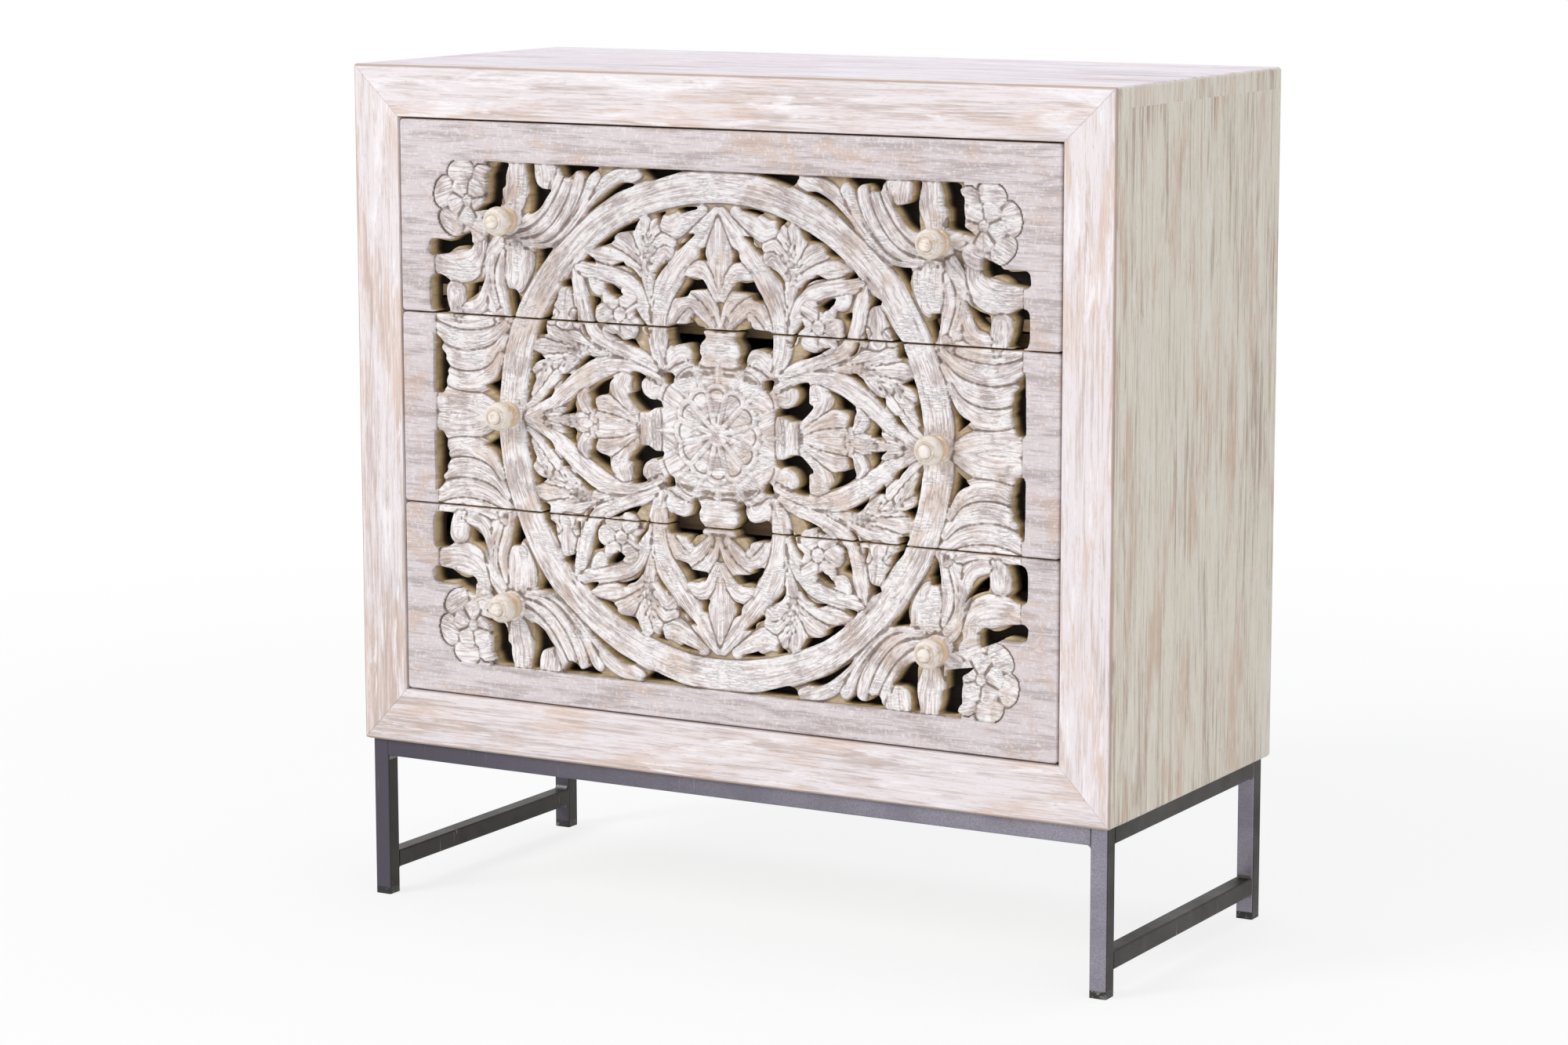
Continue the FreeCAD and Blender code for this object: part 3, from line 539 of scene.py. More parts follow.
# each carved form as a line of (outwards, upwards, half width) along its middle
bands = [
    [(3, 228, 5), (16, 212, 9), (27, 197, 12), (45, 174, 12), (60, 154, 13), (70, 132, 13), (74, 108, 12),
     (73, 86, 10), (68, 66, 8)],
    [(240, 0, 6), (215, 12, 9), (190, 32, 11), (165, 50, 12), (140, 62, 11), (112, 66, 10), (86, 60, 9),
     (70, 52, 7)],
    [(84, 104, 8), (90, 124, 9), (98, 138, 9), (108, 148, 9), (121, 155, 9), (136, 159, 9), (152, 162, 9),
     (172, 166, 8)],
    [(174, 164, 6), (168, 142, 9), (164, 124, 9), (159, 108, 10), (150, 94, 10), (132, 85, 10),
     (105, 74, 10), (74, 62, 8)],
]
leaves = [
    # between the top arch, the ring and the pointed petal
    [(79, 120, 4), (84, 150, 8), (88, 178, 12), (90, 205, 13), (90, 217, 7)],
    [(88, 160, 7), (112, 172, 11), (135, 177, 10), (154, 180, 4)],
    [(90, 172, 9), (108, 188, 12), (122, 195, 9)],
    [(86, 190, 9), (76, 205, 11), (72, 214, 5)],
    [(82, 166, 8), (66, 184, 12), (57, 180, 8)],
    [(84, 178, 8), (68, 196, 11), (58, 194, 8)],
    [(20, 229, 7), (38, 219, 12), (55, 210, 13), (65, 212, 10)],
    # buds beside and inside the pointed petal
    [(178, 158, 3), (186, 140, 10), (188, 124, 15), (187, 108, 16)],
    [(203, 108, 11), (196, 116, 8)],
    [(170, 108, 9), (176, 116, 7)],
    [(153, 152, 5), (145, 146, 10), (134, 143, 7)],
    # between the side arch, the ring and the pointed petal
    [(100, 70, 5), (135, 78, 9), (165, 84, 12), (195, 92, 13), (210, 98, 9)],
    [(160, 78, 8), (195, 78, 12), (222, 78, 8)],
    [(165, 74, 8), (200, 64, 12), (226, 54, 7)],
    [(172, 72, 9), (186, 62, 11), (192, 53, 6)],
    [(205, 62, 8), (216, 44, 10), (229, 28, 6)],
    [(196, 50, 7), (208, 38, 9), (226, 18, 6), (238, 10, 3)],
    # under the top arch
    [(0, 148, 5), (0, 168, 13), (0, 187, 18), (0, 206, 12), (0, 226, 4)],
    [(3, 140, 5), (12, 160, 9), (24, 168, 10), (36, 166, 8)],
    [(2, 108, 4), (10, 128, 8), (20, 140, 10), (34, 150, 6)],
    [(4, 106, 5), (16, 122, 9), (30, 132, 11), (46, 130, 11), (56, 118, 8), (60, 106, 6)],
    [(36, 124, 6), (44, 112, 7), (50, 106, 6)],
    [(66, 62, 6), (55, 74, 12), (42, 80, 12), (34, 70, 7)],
    [(60, 56, 7), (44, 62, 12), (28, 64, 12), (0, 66, 8)],
    # under the side arch
    [(70, 56, 7), (82, 50, 11), (83, 40, 11), (72, 40, 9)],
    [(99, 12, 5), (112, 26, 10), (120, 41, 14), (116, 52, 11)],
    [(97, 4, 5), (118, 16, 9), (136, 22, 11), (147, 22, 8)],
    [(150, 0, 5), (160, 14, 9), (167, 26, 9), (163, 34, 5)],
    [(97, 0, 5), (120, 4, 9), (150, 6, 9), (176, 2, 8), (208, 0, 5)],
    [(176, 4, 6), (194, 8, 7), (214, 6, 5)],
]
strands = [
    # acanthus from the knob up along the ring, and down to the seam
    [(262, 198, 9), (236, 206, 9), (218, 218, 9), (206, 234, 9), (198, 250, 8), (192, 262, 5)],
    [(262, 192, 7), (228, 198, 9), (206, 213, 10), (190, 234, 9), (182, 252, 6)],
    [(258, 188, 7), (214, 192, 9), (190, 210, 10), (174, 236, 9), (167, 260, 6)],
    [(240, 185, 6), (204, 188, 8), (178, 208, 9), (158, 236, 9), (150, 256, 8)],
    [(206, 184, 4), (184, 200, 7), (160, 224, 10), (140, 244, 11), (118, 258, 11), (100, 264, 8)],
    [(264, 190, 10), (281, 168, 9), (283, 145, 9), (278, 124, 9), (270, 104, 9)],
    [(262, 176, 5), (268, 150, 7), (262, 124, 7), (258, 104, 7)],
    [(286, 156, 6), (284, 134, 8), (292, 117, 10), (306, 112, 9), (318, 113, 5)],
    # half of the leaf that points at the knob
    [(358, 12, 14), (330, 14, 15), (306, 13, 14), (286, 8, 10), (268, 3, 4)],
]
lobes = [
    # upright leaf, hanging lobe, crescent, ball and flap
    [(250, 210, 7), (250, 230, 13), (247, 250, 18), (246, 268, 16)],
    [(208, 268, 17), (206, 256, 17), (206, 248, 12)],
    [(292, 186, 8), (296, 168, 13), (314, 158, 17), (334, 157, 14), (352, 160, 10)],
    [(325, 130, 12), (324, 116, 13), (322, 104, 13)],
    [(247, 184, 22), (246, 164, 20), (247, 146, 13)],
    # fan of broad leaves beside the ring
    [(268, 66, 5), (279, 48, 10), (296, 37, 13), (318, 34, 13), (338, 40, 9)],
    [(262, 84, 6), (277, 68, 10), (297, 59, 13), (320, 58, 12), (340, 64, 9)],
    [(260, 100, 7), (277, 87, 10), (300, 80, 12), (326, 81, 12), (350, 92, 9)],
    [(262, 112, 8), (282, 104, 10), (306, 100, 10), (332, 102, 10), (354, 108, 8)],
]
# each flower: its middle, its width over its height, its rings of petals (inner and outer radius, count,
# turn, height, depth of the scallops, half width of the ribs) and its button (radius, height, fall)
flowers = [
    # the rosette, the flower in the pointed petal, and the full one in the corner of the field
    ((0, 0), 1.0, [(47, 82, 16, 0.0, -2.2, 3.5, 1.7), (0, 53, 12, 0.5, -0.5, 7, 2.1)], (9, 0.4, 1.9)),
    ((118, 117), 1.0, [(7, 30, 6, 0.0, -1.0, 8, 0)], (9, -0.8, 1.6)),
    ((306, 228), 0.96, [(8, 44, 6, 0.25, -1.2, 9, 0), (2, 25, 5, 0.1, 0.0, 7, 0)], (7, 0.4, 1.6)),
]
ring_middle, ring_half = 254.5, 16.5
# the corner of the field where the ground round the flower is left level with the margins
flower_ground = (284, 186)
# the reeded collars: where they start, how wide each reed is, and how far they reach up and sideways
collar_start, reed, collar_reaches = 68, 9.5, (108, 98)
field_middle, field_half = 541.5, (350.0, 270.0)
planks = {n: extent(f"drawer_{n}_carved_front") for n in (1, 2, 3)}
drawer_left, plank_back_y = planks[1][0][0], planks[1][1][1]
knob_low, knob_high = extent("drawer_1_right_knob")
knob_out, seat_radius, seat_reach = round((knob_low[0] + knob_high[0]) / 2), 14.5, 21.0
ground_deep, corner_round, edge_round, fine = 6.5, 4.0, 2.0, 1.25
# a height below every form, and the third number of the flow on the plain margins
nothing, margin_mark = -9.0, -40.0


def smooth_line(points, pieces=6):
    """A curve through the points: each span is the cubic whose end slopes are half the step between the
    neighbours on either side."""
    p = np.array(points, float)
    q = np.vstack([2 * p[0] - p[1], p, 2 * p[-1] - p[-2]])
    t = np.linspace(0, 1, pieces, endpoint=False)[None, :, None]
    a, b, c, d = q[:-3, None], q[1:-2, None], q[2:-1, None], q[3:, None]
    spans = 0.5 * (2 * b + (c - a) * t + (2 * a - 5 * b + 4 * c - d) * t ** 2 +
                   (3 * b - a - 3 * c + d) * t ** 3)
    return np.vstack([spans.reshape(-1, 3), p[-1:]])


def rounded_loop(points, cut=0.3):
    """The closed outline with each corner replaced by a short parabola between its two sides."""
    b = np.array(points, float)[:, None]
    a, c = np.roll(b, 1, 0), np.roll(b, -1, 0)
    t = np.linspace(0, 1, 4)[None, :, None]
    start, end = b + (a - b) * cut, b + (c - b) * cut
    return ((1 - t) ** 2 * start + 2 * t * (1 - t) * b + t ** 2 * end).reshape(-1, 2)


def to_line(a, b, line):
    """For each point: its distance to the middle line over the half width there, the way along the line,
    the signed way across it, and the half width, all for the nearest part of the line."""
    best = np.full(a.shape, 1e9)
    along, across, width = np.zeros(a.shape), np.zeros(a.shape), np.ones(a.shape)
    run = 0.0
    for p, q in zip(line[:-1], line[1:]):
        d = q[:2] - p[:2]
        long = np.hypot(*d)
        t = np.clip(((a - p[0]) * d[0] + (b - p[1]) * d[1]) / long ** 2, 0, 1)
        ea, eb, w = a - p[0] - t * d[0], b - p[1] - t * d[1], p[2] + t * (q[2] - p[2])
        away = np.hypot(ea, eb)
        near = away / w < best
        side = np.sign(ea * d[1] - eb * d[0])
        best, width = np.where(near, away / w, best), np.where(near, w, width)
        along, across = np.where(near, run + t * long, along), np.where(near, side * away, across)
        run += long
    return best, along, across, width


def to_opening(a, b, loop):
    """Distance to a closed outline, negative inside it: the least distance to any side, and a point is
    inside where a line out from it crosses an odd number of sides."""
    best, inside = np.full(a.shape, 1e9), np.zeros(a.shape, bool)
    for p, q in zip(loop, np.roll(loop, -1, 0)):
        d = q - p
        t = np.clip(((a - p[0]) * d[0] + (b - p[1]) * d[1]) / (d @ d + 1e-12), 0, 1)
        best = np.minimum(best, np.hypot(a - p[0] - t * d[0], b - p[1] - t * d[1]))
        crossing = (q[0] - p[0]) * (b - p[1]) / (q[1] - p[1] + 1e-12) + p[0]
        inside ^= ((p[1] > b) != (q[1] > b)) & (a < crossing)
    return np.where(inside, -best, best)


def petals(r, angle, inner, outer, count, turned, lift, notch, ribbed):
    """A ring of petals with round scalloped tips. Ribbed ones are hollow between a raised rim and raised
    ribs on the lines between them; the others are crowned and each laps over the next. Nothing is left
    outside the scallops. Gives the height, the number of the petal and its incised lines."""
    place = angle * count / (2 * pi) + turned
    w = np.abs((place % 1) - 0.5) * 2
    from_edge = outer - notch * (1 - np.sqrt(np.clip(1 - w ** 2, 0, 1))) - r
    from_line = (1 - w) * r * pi / count
    share = np.clip((r - inner) / (outer - inner), 0, 1)
    line = np.zeros(r.shape)
    if ribbed:
        beside = np.exp(-((from_line - ribbed - 1.2) / 1.0) ** 2) * np.clip((from_edge - 4) / 2, 0, 1)
        beside = 0.6 * beside * np.clip((r - inner) / 14, 0, 1)
        line = np.maximum(np.exp(-((from_edge - 6.4) / 1.2) ** 2), beside)
        raised = np.maximum(np.exp(-(from_line / ribbed) ** 4), np.exp(-((from_edge - 2.6) / 2.6) ** 4))
        height = lift - 1.2 * share * (1 - w ** 2) + 1.2 * raised - 0.7 * line
    else:
        midrib = np.exp(-(w * r * pi / count / 1.1) ** 2) * np.clip(from_edge / 8 - 0.4, 0, 1)
        height = lift - 1.6 * w ** 2.5 - 0.7 * midrib + 0.8 * share + 1.4 * ((place % 1) - 0.5)
    line = np.maximum(line, np.exp(-((from_edge - 0.4) / 0.9) ** 2))
    rounded = height - 1.4 * np.clip(1 - from_edge / 1.8, 0, 1) ** 2
    return np.where((r > inner) & (from_edge > 0), rounded, nothing), np.floor(place), line


def form_height(forms, lift, crown, best, along, across, width):
    """Height of a long form: crowned across, steep at its edges, and falling away beyond them. Bands
    have two lines, leaves a midrib and veins, strands two lines off the middle, and lobes fine ones."""
    h = lift - crown * (0.45 * best ** 2 + 0.55 * np.minimum(best, 1) ** 6)
    h -= 1.1 * width * np.maximum(best - 1, 0)
    if forms is bands:
        h -= 0.8 * np.exp(-((np.abs(across) - 0.55 * width) / 0.9) ** 2)
    elif forms is leaves:
        veins = np.clip(np.sin(along / 1.5 - np.abs(across) / 1.9), 0, 1)
        h -= np.exp(-across ** 2) * np.clip(1.1 - best, 0, 1)
        h -= 0.35 * veins * np.clip(1.2 - best, 0, 1)
    elif forms is strands:
        h -= 0.7 * np.exp(-((across - 0.35 * width) / 0.9) ** 2)
        h -= 0.6 * np.exp(-((across + 0.4 * width) / 0.9) ** 2)
    else:
        h -= 0.4 * np.clip(np.sin(across / 1.5), 0, 1)
    return h


def carved(x, b):
    """Height of the carving over the plank's face, negative into the wood, with the way along and across
    each form and the dark creases. x runs across the chest and b up from the middle of the field, and
    both are folded onto one quarter. The forms are laid over one another and the highest shows."""
    a, b = np.abs(x), np.abs(b)
    height = np.full(a.shape, -ground_deep)
    under = np.full(a.shape, -ground_deep)
    incised = np.zeros(a.shape)
    flow = np.stack([x, b, np.zeros(a.shape)], -1)

    def lay(h, along, across, where=slice(None), covers=False, line=0.0):
        """Lays a form over those before it. It shows where it is higher, or everywhere if it covers."""
        lay.count += 1
        shown = h > (nothing + 1 if covers else height[where])
        under[where] = np.maximum(under[where], np.minimum(h, height[where]))
        height[where] = np.where(shown, h, height[where])
        incised[where] = np.where(shown, line, incised[where])
        new = np.stack([along + 37.0 * lay.count, across, np.full(np.shape(h), lay.count * 7.3)], -1)
        flow[where] = np.where(shown[..., None], new, flow[where])

    lay.count = 0
    for forms, lift, crown in ((bands, -1.7, 2.4), (leaves, -2.4, 3.0), (strands, -2.0, 2.8),
                               (lobes, -2.0, 2.8)):
        for form in forms:
            line = smooth_line(form)
            low, high = line.min(0)[:2] - line[:, 2].max() - 4, line.max(0)[:2] + line[:, 2].max() + 4
            where = np.nonzero((a > low[0]) & (a < high[0]) & (b > low[1]) & (b < high[1]))
            best, along, across, width = to_line(a[where], b[where], line)
            lay(form_height(forms, lift, crown, best, along, across, width), along, across, where)

    # the ring, with two lines along it and its outer band a little lower
    r, angle = np.hypot(a, b), np.arctan2(a, b)
    share = np.abs(r - ring_middle) / ring_half
    ring = -1.4 - 1.4 * share ** 6 - 2 * ring_half * np.maximum(share - 1, 0)
    inner_line, outer_line = ring_middle - 9, ring_middle + 9.5
    ring -= 1.3 * np.exp(-(r - inner_line) ** 2) + 0.7 * np.exp(-(r - outer_line) ** 2)
    ring -= 0.5 * (r > outer_line)
    lay(ring, angle * (ring_middle - 0.5), r)

    # The petals are crackled along the plank's grain, a little differently each. The button of the
    # rosette lies across both halves of the drawing.
    for (middle_a, middle_b), squash, rings, (button, top, fall) in flowers:
        p, q = a - middle_a, (b - middle_b) * squash
        r, angle = np.hypot(p, q), np.arctan2(p, q)
        for sizes in rings:
            h, petal, line = petals(r, angle, *sizes)
            slant = 0.5 * np.sin(petal * 2.4)
            along, across = x * np.cos(slant) + b * np.sin(slant), b * np.cos(slant) - x * np.sin(slant)
            lay(h, along + petal * 31, across, covers=middle_a == 0, line=line)
        lay(np.where(r < button, top - fall * (r / button) ** 4, nothing), p if middle_a else x, q)

    # collars between the rosette and the ring, above, below and at the sides
    for across, up, reach in zip((a, b), (b, a), collar_reaches):
        wide = 25 + 2 * np.sin(up / 3.2)
        reeds = np.abs(((up - collar_start) / reed) % 1 - 0.5) * 2
        reeds = -2.2 - 1.0 * (across / 26) ** 4 - 1.1 * reeds ** 4
        lay(np.where((across < wide) & (up > collar_start) & (up < reach), reeds, nothing), across, up)

    # a crease of even width where two forms meet, and along the lines cut into the petals, sunk a little
    # here and painted dark later as painted shade
    ripple = 0.12 * np.sin(flow[..., 0] / 2.9) * np.sin(flow[..., 1] / 3.7 + flow[..., 2])
    gap = height - under
    crease = np.exp(-(gap / (0.55 * np.hypot(*np.gradient(gap)) + 0.3)) ** 2) * (incised < 0.01)
    crease = np.maximum(crease, 0.50 * incised)
    return height + ripple - 0.8 * crease, flow, crease


def to_fretwork(x, b):
    """Distance to the nearest opening, negative inside one, and 40 far from all of them. The drawing is
    one quarter, folded out as the carving is."""
    a, b = np.abs(x), np.abs(b)
    away = np.full(a.shape, 40.0)
    for outline in openings:
        loop = rounded_loop(outline)
        (a0, b0), (a1, b1) = loop.min(0) - 9, loop.max(0) + 9
        where = np.nonzero((a > a0) & (a < a1) & (b > b0) & (b < b1))
        away[where] = np.minimum(away[where], to_opening(a[where], b[where], loop))
    return away


def to_plank_edge(x, z, low, high):
    """Distance inwards from the edge of a plank whose corners are rounded."""
    dx = np.abs(x) + drawer_left + corner_round
    dz = np.abs(z - (low + high) / 2) - (high - low) / 2 + corner_round
    outwards = np.hypot(np.maximum(dx, 0), np.maximum(dz, 0)) + np.minimum(np.maximum(dx, dz), 0)
    return corner_round - outwards


def grid_lines(low, high, fine_low, fine_high, margin=7.0):
    """Positions from edge to edge: two lines astride each edge, close ones over its rounding, wide ones
    over the plain margins, and the fine step over the carving."""
    near = np.array([-0.6, 0.6, 1.3, 2.2, 3.3, 4.6])
    inner = np.linspace(fine_low, fine_high, int(round((fine_high - fine_low) / fine)) + 1)
    parts = [low + near, high - near[::-1]]
    for end, start in ((low + near[-1], inner[0]), (inner[-1], high - near[-1])):
        if start - end > fine:
            parts.append(np.linspace(end, start, max(2, int(round((start - end) / margin)) + 1))[1:-1])
    clear = near[-1] + 0.4
    parts.append(inner[(inner > low + clear) & (inner < high - clear)])
    return np.unique(np.concatenate(parts).round(4))


def plank_surface(low, high):
    """The plank's front as a grid: its lines, the distance of each point to the nearest cut, its height,
    the flow of the form there, and how hollow it lies."""
    reach_x, reach_z = field_half[0] + 3, field_half[1] + 3
    x = grid_lines(drawer_left, -drawer_left, -reach_x, reach_x)
    z = grid_lines(low, high, max(low, field_middle - reach_z), min(high, field_middle + reach_z))
    X, Z = np.meshgrid(x, z)
    B = Z - field_middle
    # the drawing drifts by up to about 2 mm, and not at all at the edge of the field
    still = np.clip(1 - (X / (reach_x - 1)) ** 6, 0, 1) * np.clip(1 - (B / (reach_z - 1)) ** 6, 0, 1)
    drift_x = 1.5 * still * (np.sin(X / 67 + 1.1) * np.cos(B / 53 + 0.4) + 0.5 * np.sin(B / 23 + X / 90))
    drift_b = 1.5 * still * (np.cos(X / 59 + 0.7) * np.sin(B / 61 + 2.1) + 0.5 * np.sin(X / 27 + B / 80))
    U, V = X + drift_x, B + drift_b
    height, flow, crease = carved(U, V)
    # smoothed once both ways, as sandpaper leaves the edges
    for axis in (0, 1):
        height, crease = [(np.roll(f, 1, axis) + 2 * f + np.roll(f, -1, axis)) / 4 for f in (height, crease)]
    crease = np.clip(1.3 * crease, 0, 1)
    edge = to_plank_edge(X, Z, low, high)
    D = np.minimum(to_fretwork(U, V), edge)

    # the plain margins outside the field, and the bare ground round the corner flowers, level with them
    past = np.maximum(np.abs(X) - field_half[0], np.abs(B) - field_half[1])
    by_flower = (np.abs(X) > flower_ground[0]) & (np.abs(B) > flower_ground[1])
    plain = np.where(past > 0, 1.0, np.clip(-2.8 - height, 0, 2.5) / 2.5 * by_flower)
    margin = plain > 0.5
    height = height + (0.1 * np.sin(X / 29 + Z / 13) - height) * plain
    height -= 1.1 * np.exp(-((past - 0.9) / 1.1) ** 2) * ~by_flower
    flow[margin] = np.stack([X, Z, np.full(X.shape, margin_mark)], -1)[margin]
    # a flat seat for each knob
    from_knob = np.hypot(np.abs(X) - knob_out, Z - (low + high) / 2)
    seat = -0.15 - 1.1 * np.maximum(from_knob - seat_radius, 0)
    height = np.maximum(height, np.where(from_knob < seat_reach, seat, nothing))
    # how far each point lies under its surroundings, a mean of five neighbours taken three times
    wide = height
    for axis in (0, 1) * 3:
        ends = [(3, 2) if k == axis else (0, 0) for k in (0, 1)]
        total = np.cumsum(np.pad(wide, ends, "edge"), axis)
        long = total.shape[axis]
        wide = (np.take(total, range(5, long), axis) - np.take(total, range(long - 5), axis)) / 5
    # the creases are added to the hollow, so that the paint darkens them as painted shade
    return x, z, D, height, flow, wide - height + 0.55 * crease * ~margin


def cut_out(X, Z, D, height, flow, hollow):
    """The part of the grid where the distance to the nearest cut is positive, its edges rounded down.
    Each grid line that crosses a cut gets a point there, and each cell is cut straight between them. Gives
    x, z, height, flow and hollow of the points, the faces, the rims between two cut points, and the
    number of the first cut point."""
    inwards = np.clip(D, 0, edge_round)
    let_down = edge_round - np.sqrt(edge_round ** 2 - (edge_round - inwards) ** 2)
    keep = D > 0
    number = np.full(D.shape, -1)
    number[keep] = np.arange(keep.sum())
    held = {"x": [X[keep]], "z": [Z[keep]], "h": [(height - let_down)[keep]],
            "flow": [flow[keep]], "hollow": [hollow[keep]]}
    total = first_cut = int(keep.sum())
    cuts = {}
    for label, near, far in (("row", np.s_[:, :-1], np.s_[:, 1:]), ("column", np.s_[:-1, :], np.s_[1:, :])):
        crossing = keep[near] != keep[far]
        d0, d1 = D[near][crossing], D[far][crossing]
        # held a little clear of the grid's own points, so that no face is a sliver
        t = np.clip(d0 / (d0 - d1), 0.06, 0.94)
        nearer = np.where(keep[near][crossing], 0.0, 1.0)

        def part(values, share=t):
            """The values at the cut points, a share of the way along each line that crosses a cut."""
            one, two = values[near][crossing], values[far][crossing]
            share = share if one.ndim == 1 else share[:, None]
            return one + (two - one) * share

        held["x"].append(part(X))
        held["z"].append(part(Z))
        held["h"].append(part(height) - edge_round)
        held["flow"].append(part(flow, nearer))
        held["hollow"].append(part(hollow, nearer))
        cuts[label] = np.full(crossing.shape, -1)
        cuts[label][crossing] = np.arange(crossing.sum()) + total
        total += int(crossing.sum())
    # the cells, by which of their four corners are kept: round each cell, corners and sides take turns
    corner_keep = [keep[:-1, :-1], keep[:-1, 1:], keep[1:, 1:], keep[1:, :-1]]
    corner_number = [number[:-1, :-1], number[:-1, 1:], number[1:, 1:], number[1:, :-1]]
    side_number = [cuts["row"][:-1], cuts["column"][:, 1:], cuts["row"][1:], cuts["column"][:, :-1]]
    around = np.stack([grid for pair in zip(corner_number, side_number) for grid in pair], -1).reshape(-1, 8)
    case = sum(c.astype(int) << i for i, c in enumerate(corner_keep)).ravel()
    faces, rims = [], []
    for code in range(1, 16):
        inside = [bool(code >> i & 1) for i in range(4)]
        kept = [place for i in range(4) for place in ([2 * i] if inside[i] else []) +
                ([2 * i + 1] if inside[i] != inside[(i + 1) % 4] else [])]
        rows = around[case == code]
        faces.append(rows[:, kept])
        rims += [rows[:, [one, two]] for one, two in zip(kept, kept[1:] + kept[:1]) if one % 2 and two % 2]
    return [np.concatenate(values) for values in held.values()], faces, np.concatenate(rims), first_cut


def flat_back(bx, bz, rims, x, z, D):
    """A flat triangulation between closed rims, turned one way. A triangle on a rim is kept on the
    wood's side of it, and any other where the distance to the nearest cut is positive."""
    count = len(bx)
    points = [Vector(point) for point in zip(bx, bz)]
    _, _, triangles, came_from, _, _ = delaunay_2d_cdt(points, rims.tolist(), [], 0, 1e-5)
    triangles = np.array([c[0] for c in came_from])[np.array(triangles)]
    t0, t1, t2 = triangles.T
    turn_way = (bx[t1] - bx[t0]) * (bz[t2] - bz[t0]) - (bx[t2] - bx[t0]) * (bz[t1] - bz[t0])
    triangles[turn_way < 0] = triangles[turn_way < 0][:, ::-1]
    forward = np.sort(rims[:, 0] * count + rims[:, 1])
    along_rim, against_rim = np.zeros(len(triangles), bool), np.zeros(len(triangles), bool)
    for one, two in ((0, 1), (1, 2), (2, 0)):
        p, q = triangles[:, one], triangles[:, two]
        along_rim |= np.isin(p * count + q, forward)
        against_rim |= np.isin(q * count + p, forward)
    mid_x, mid_z = bx[triangles].mean(1), bz[triangles].mean(1)
    col = np.clip(np.searchsorted(x, mid_x) - 1, 0, len(x) - 2)
    row = np.clip(np.searchsorted(z, mid_z) - 1, 0, len(z) - 2)
    solid = (D[row, col] + D[row + 1, col + 1] + D[row, col + 1] + D[row + 1, col]) > 0
    return triangles[np.where(along_rim | against_rim, along_rim, solid)]


def carved_plank(low, high):
    """The plank: its carved front, cut off along its edge and its openings, and joined by walls to a flat
    back. Gives the points, the faces, the flow of the forms and how hollow each point lies."""
    x, z, D, height, flow, hollow = plank_surface(low, high)
    X, Z = np.meshgrid(x, z)
    (px, pz, ph, flows, hollows), faces, rims, first_cut = cut_out(X, Z, D, height, flow, hollow)
    bx, bz = px[first_cut:], pz[first_cut:]
    count = len(bx)
    faces.append(flat_back(bx, bz, rims - first_cut, x, z, D)[:, ::-1] + len(px))
    faces.append(np.stack([rims[:, 1], rims[:, 0], rims[:, 0] + count, rims[:, 1] + count], 1))
    front = np.stack([px, front_y - ph, pz], 1)
    rear = np.stack([bx, np.full(count, plank_back_y), bz], 1)
    flows, hollows = (np.concatenate([values, values[first_cut:]]) for values in (flows, hollows))
    return np.vstack([front, rear]), faces, flows, hollows


# Chalk paint on carved wood: white over tan, crackled in thin lines along each form and along the
# planks, streaked by the brush, grey-brown in the hollows and creases, partly grime and partly painted
# shade, and bright white on the high parts as a painted highlight. The plain margins are thinly washed,
# and the sawn walls of the openings are nearly bare, with painted shade darkening them towards the back.
# Crackle, grain and fibres are drawn 1 to 2 mm wide, coarser than they are, so that they show.
chalk, tree = emptied(bpy.data.materials.new("crackled_chalk_paint_on_mango"))
spot = add(tree, "TexCoord", out="Object")
flow = add(tree, "Attribute", out="Vector", attribute_name="flow")
hollow = add(tree, "Attribute", out="Fac", attribute_name="hollow")
on_form = patterns(tree, flow, {"crackle": ((15, 2.1, 1), 4.0, 0.3), "brushed": ((38, 3.4, 1), 4.0, 0.3),
                                "grain": ((18, 1.1, 1), 3.0, 0.0)}, unit=1.0)
on_plank = patterns(tree, spot, {
    "crackle": ((13, 13, 1.9), 4.0, 0.6), "where": ((38, 38, 38), 4.0, 0.3),
    "patches": ((50, 50, 50), 6.0, 0.6), "specks": ((3.2, 3.2, 3.2), 3.0, 0.0),
    "fibres": ((30, 30, 1.1), 3.0, 0.0), "smudges": ((85, 85, 8.5), 5.0, 0.4),
    "hatching": ((1.2, 1.2, 12), 2.0, 0.0), "sawn": ((12, 50, 12), 4.0, 0.4),
    "saw_lines": ((30, 3, 30), 3.0, 0.0)})
cracks = []
for pattern, low, high in ((on_form["crackle"], 0.46, 0.58), (on_plank["crackle"], 0.50, 0.42)):
    line = add(tree, "MapRange", {0: off(tree, pattern, 0.5), 1: 0.0, 2: 0.050, 3: 1.0, 4: 0.0})
    area = add(tree, "MapRange", {0: on_plank["where"], 1: low, 2: high, 3: 0.05, 4: 1.0})
    cracks.append(add(tree, "Math", {0: line, 1: area}, operation="MULTIPLY"))
cracked = add(tree, "Math", {0: cracks[0], 1: cracks[1]}, operation="MAXIMUM")
mark = add(tree, "SeparateXYZ", {0: flow}, out=2)
margin = add(tree, "MapRange", {0: mark, 1: margin_mark / 2, 2: margin_mark / 8, 3: 1.0, 4: 0.0})
carved_part = add(tree, "Math", {0: 1.0, 1: margin}, operation="SUBTRACT")
cracked = add(tree, "Math", {0: cracked, 1: carved_part}, operation="MULTIPLY")
# grey-brown in the hollows and creases, partly grime and partly painted shade
grime_and_painted_shade = add(tree, "Math", {0: on_plank["specks"], 1: 0.6, 2: hollow}, operation="MULTIPLY_ADD")
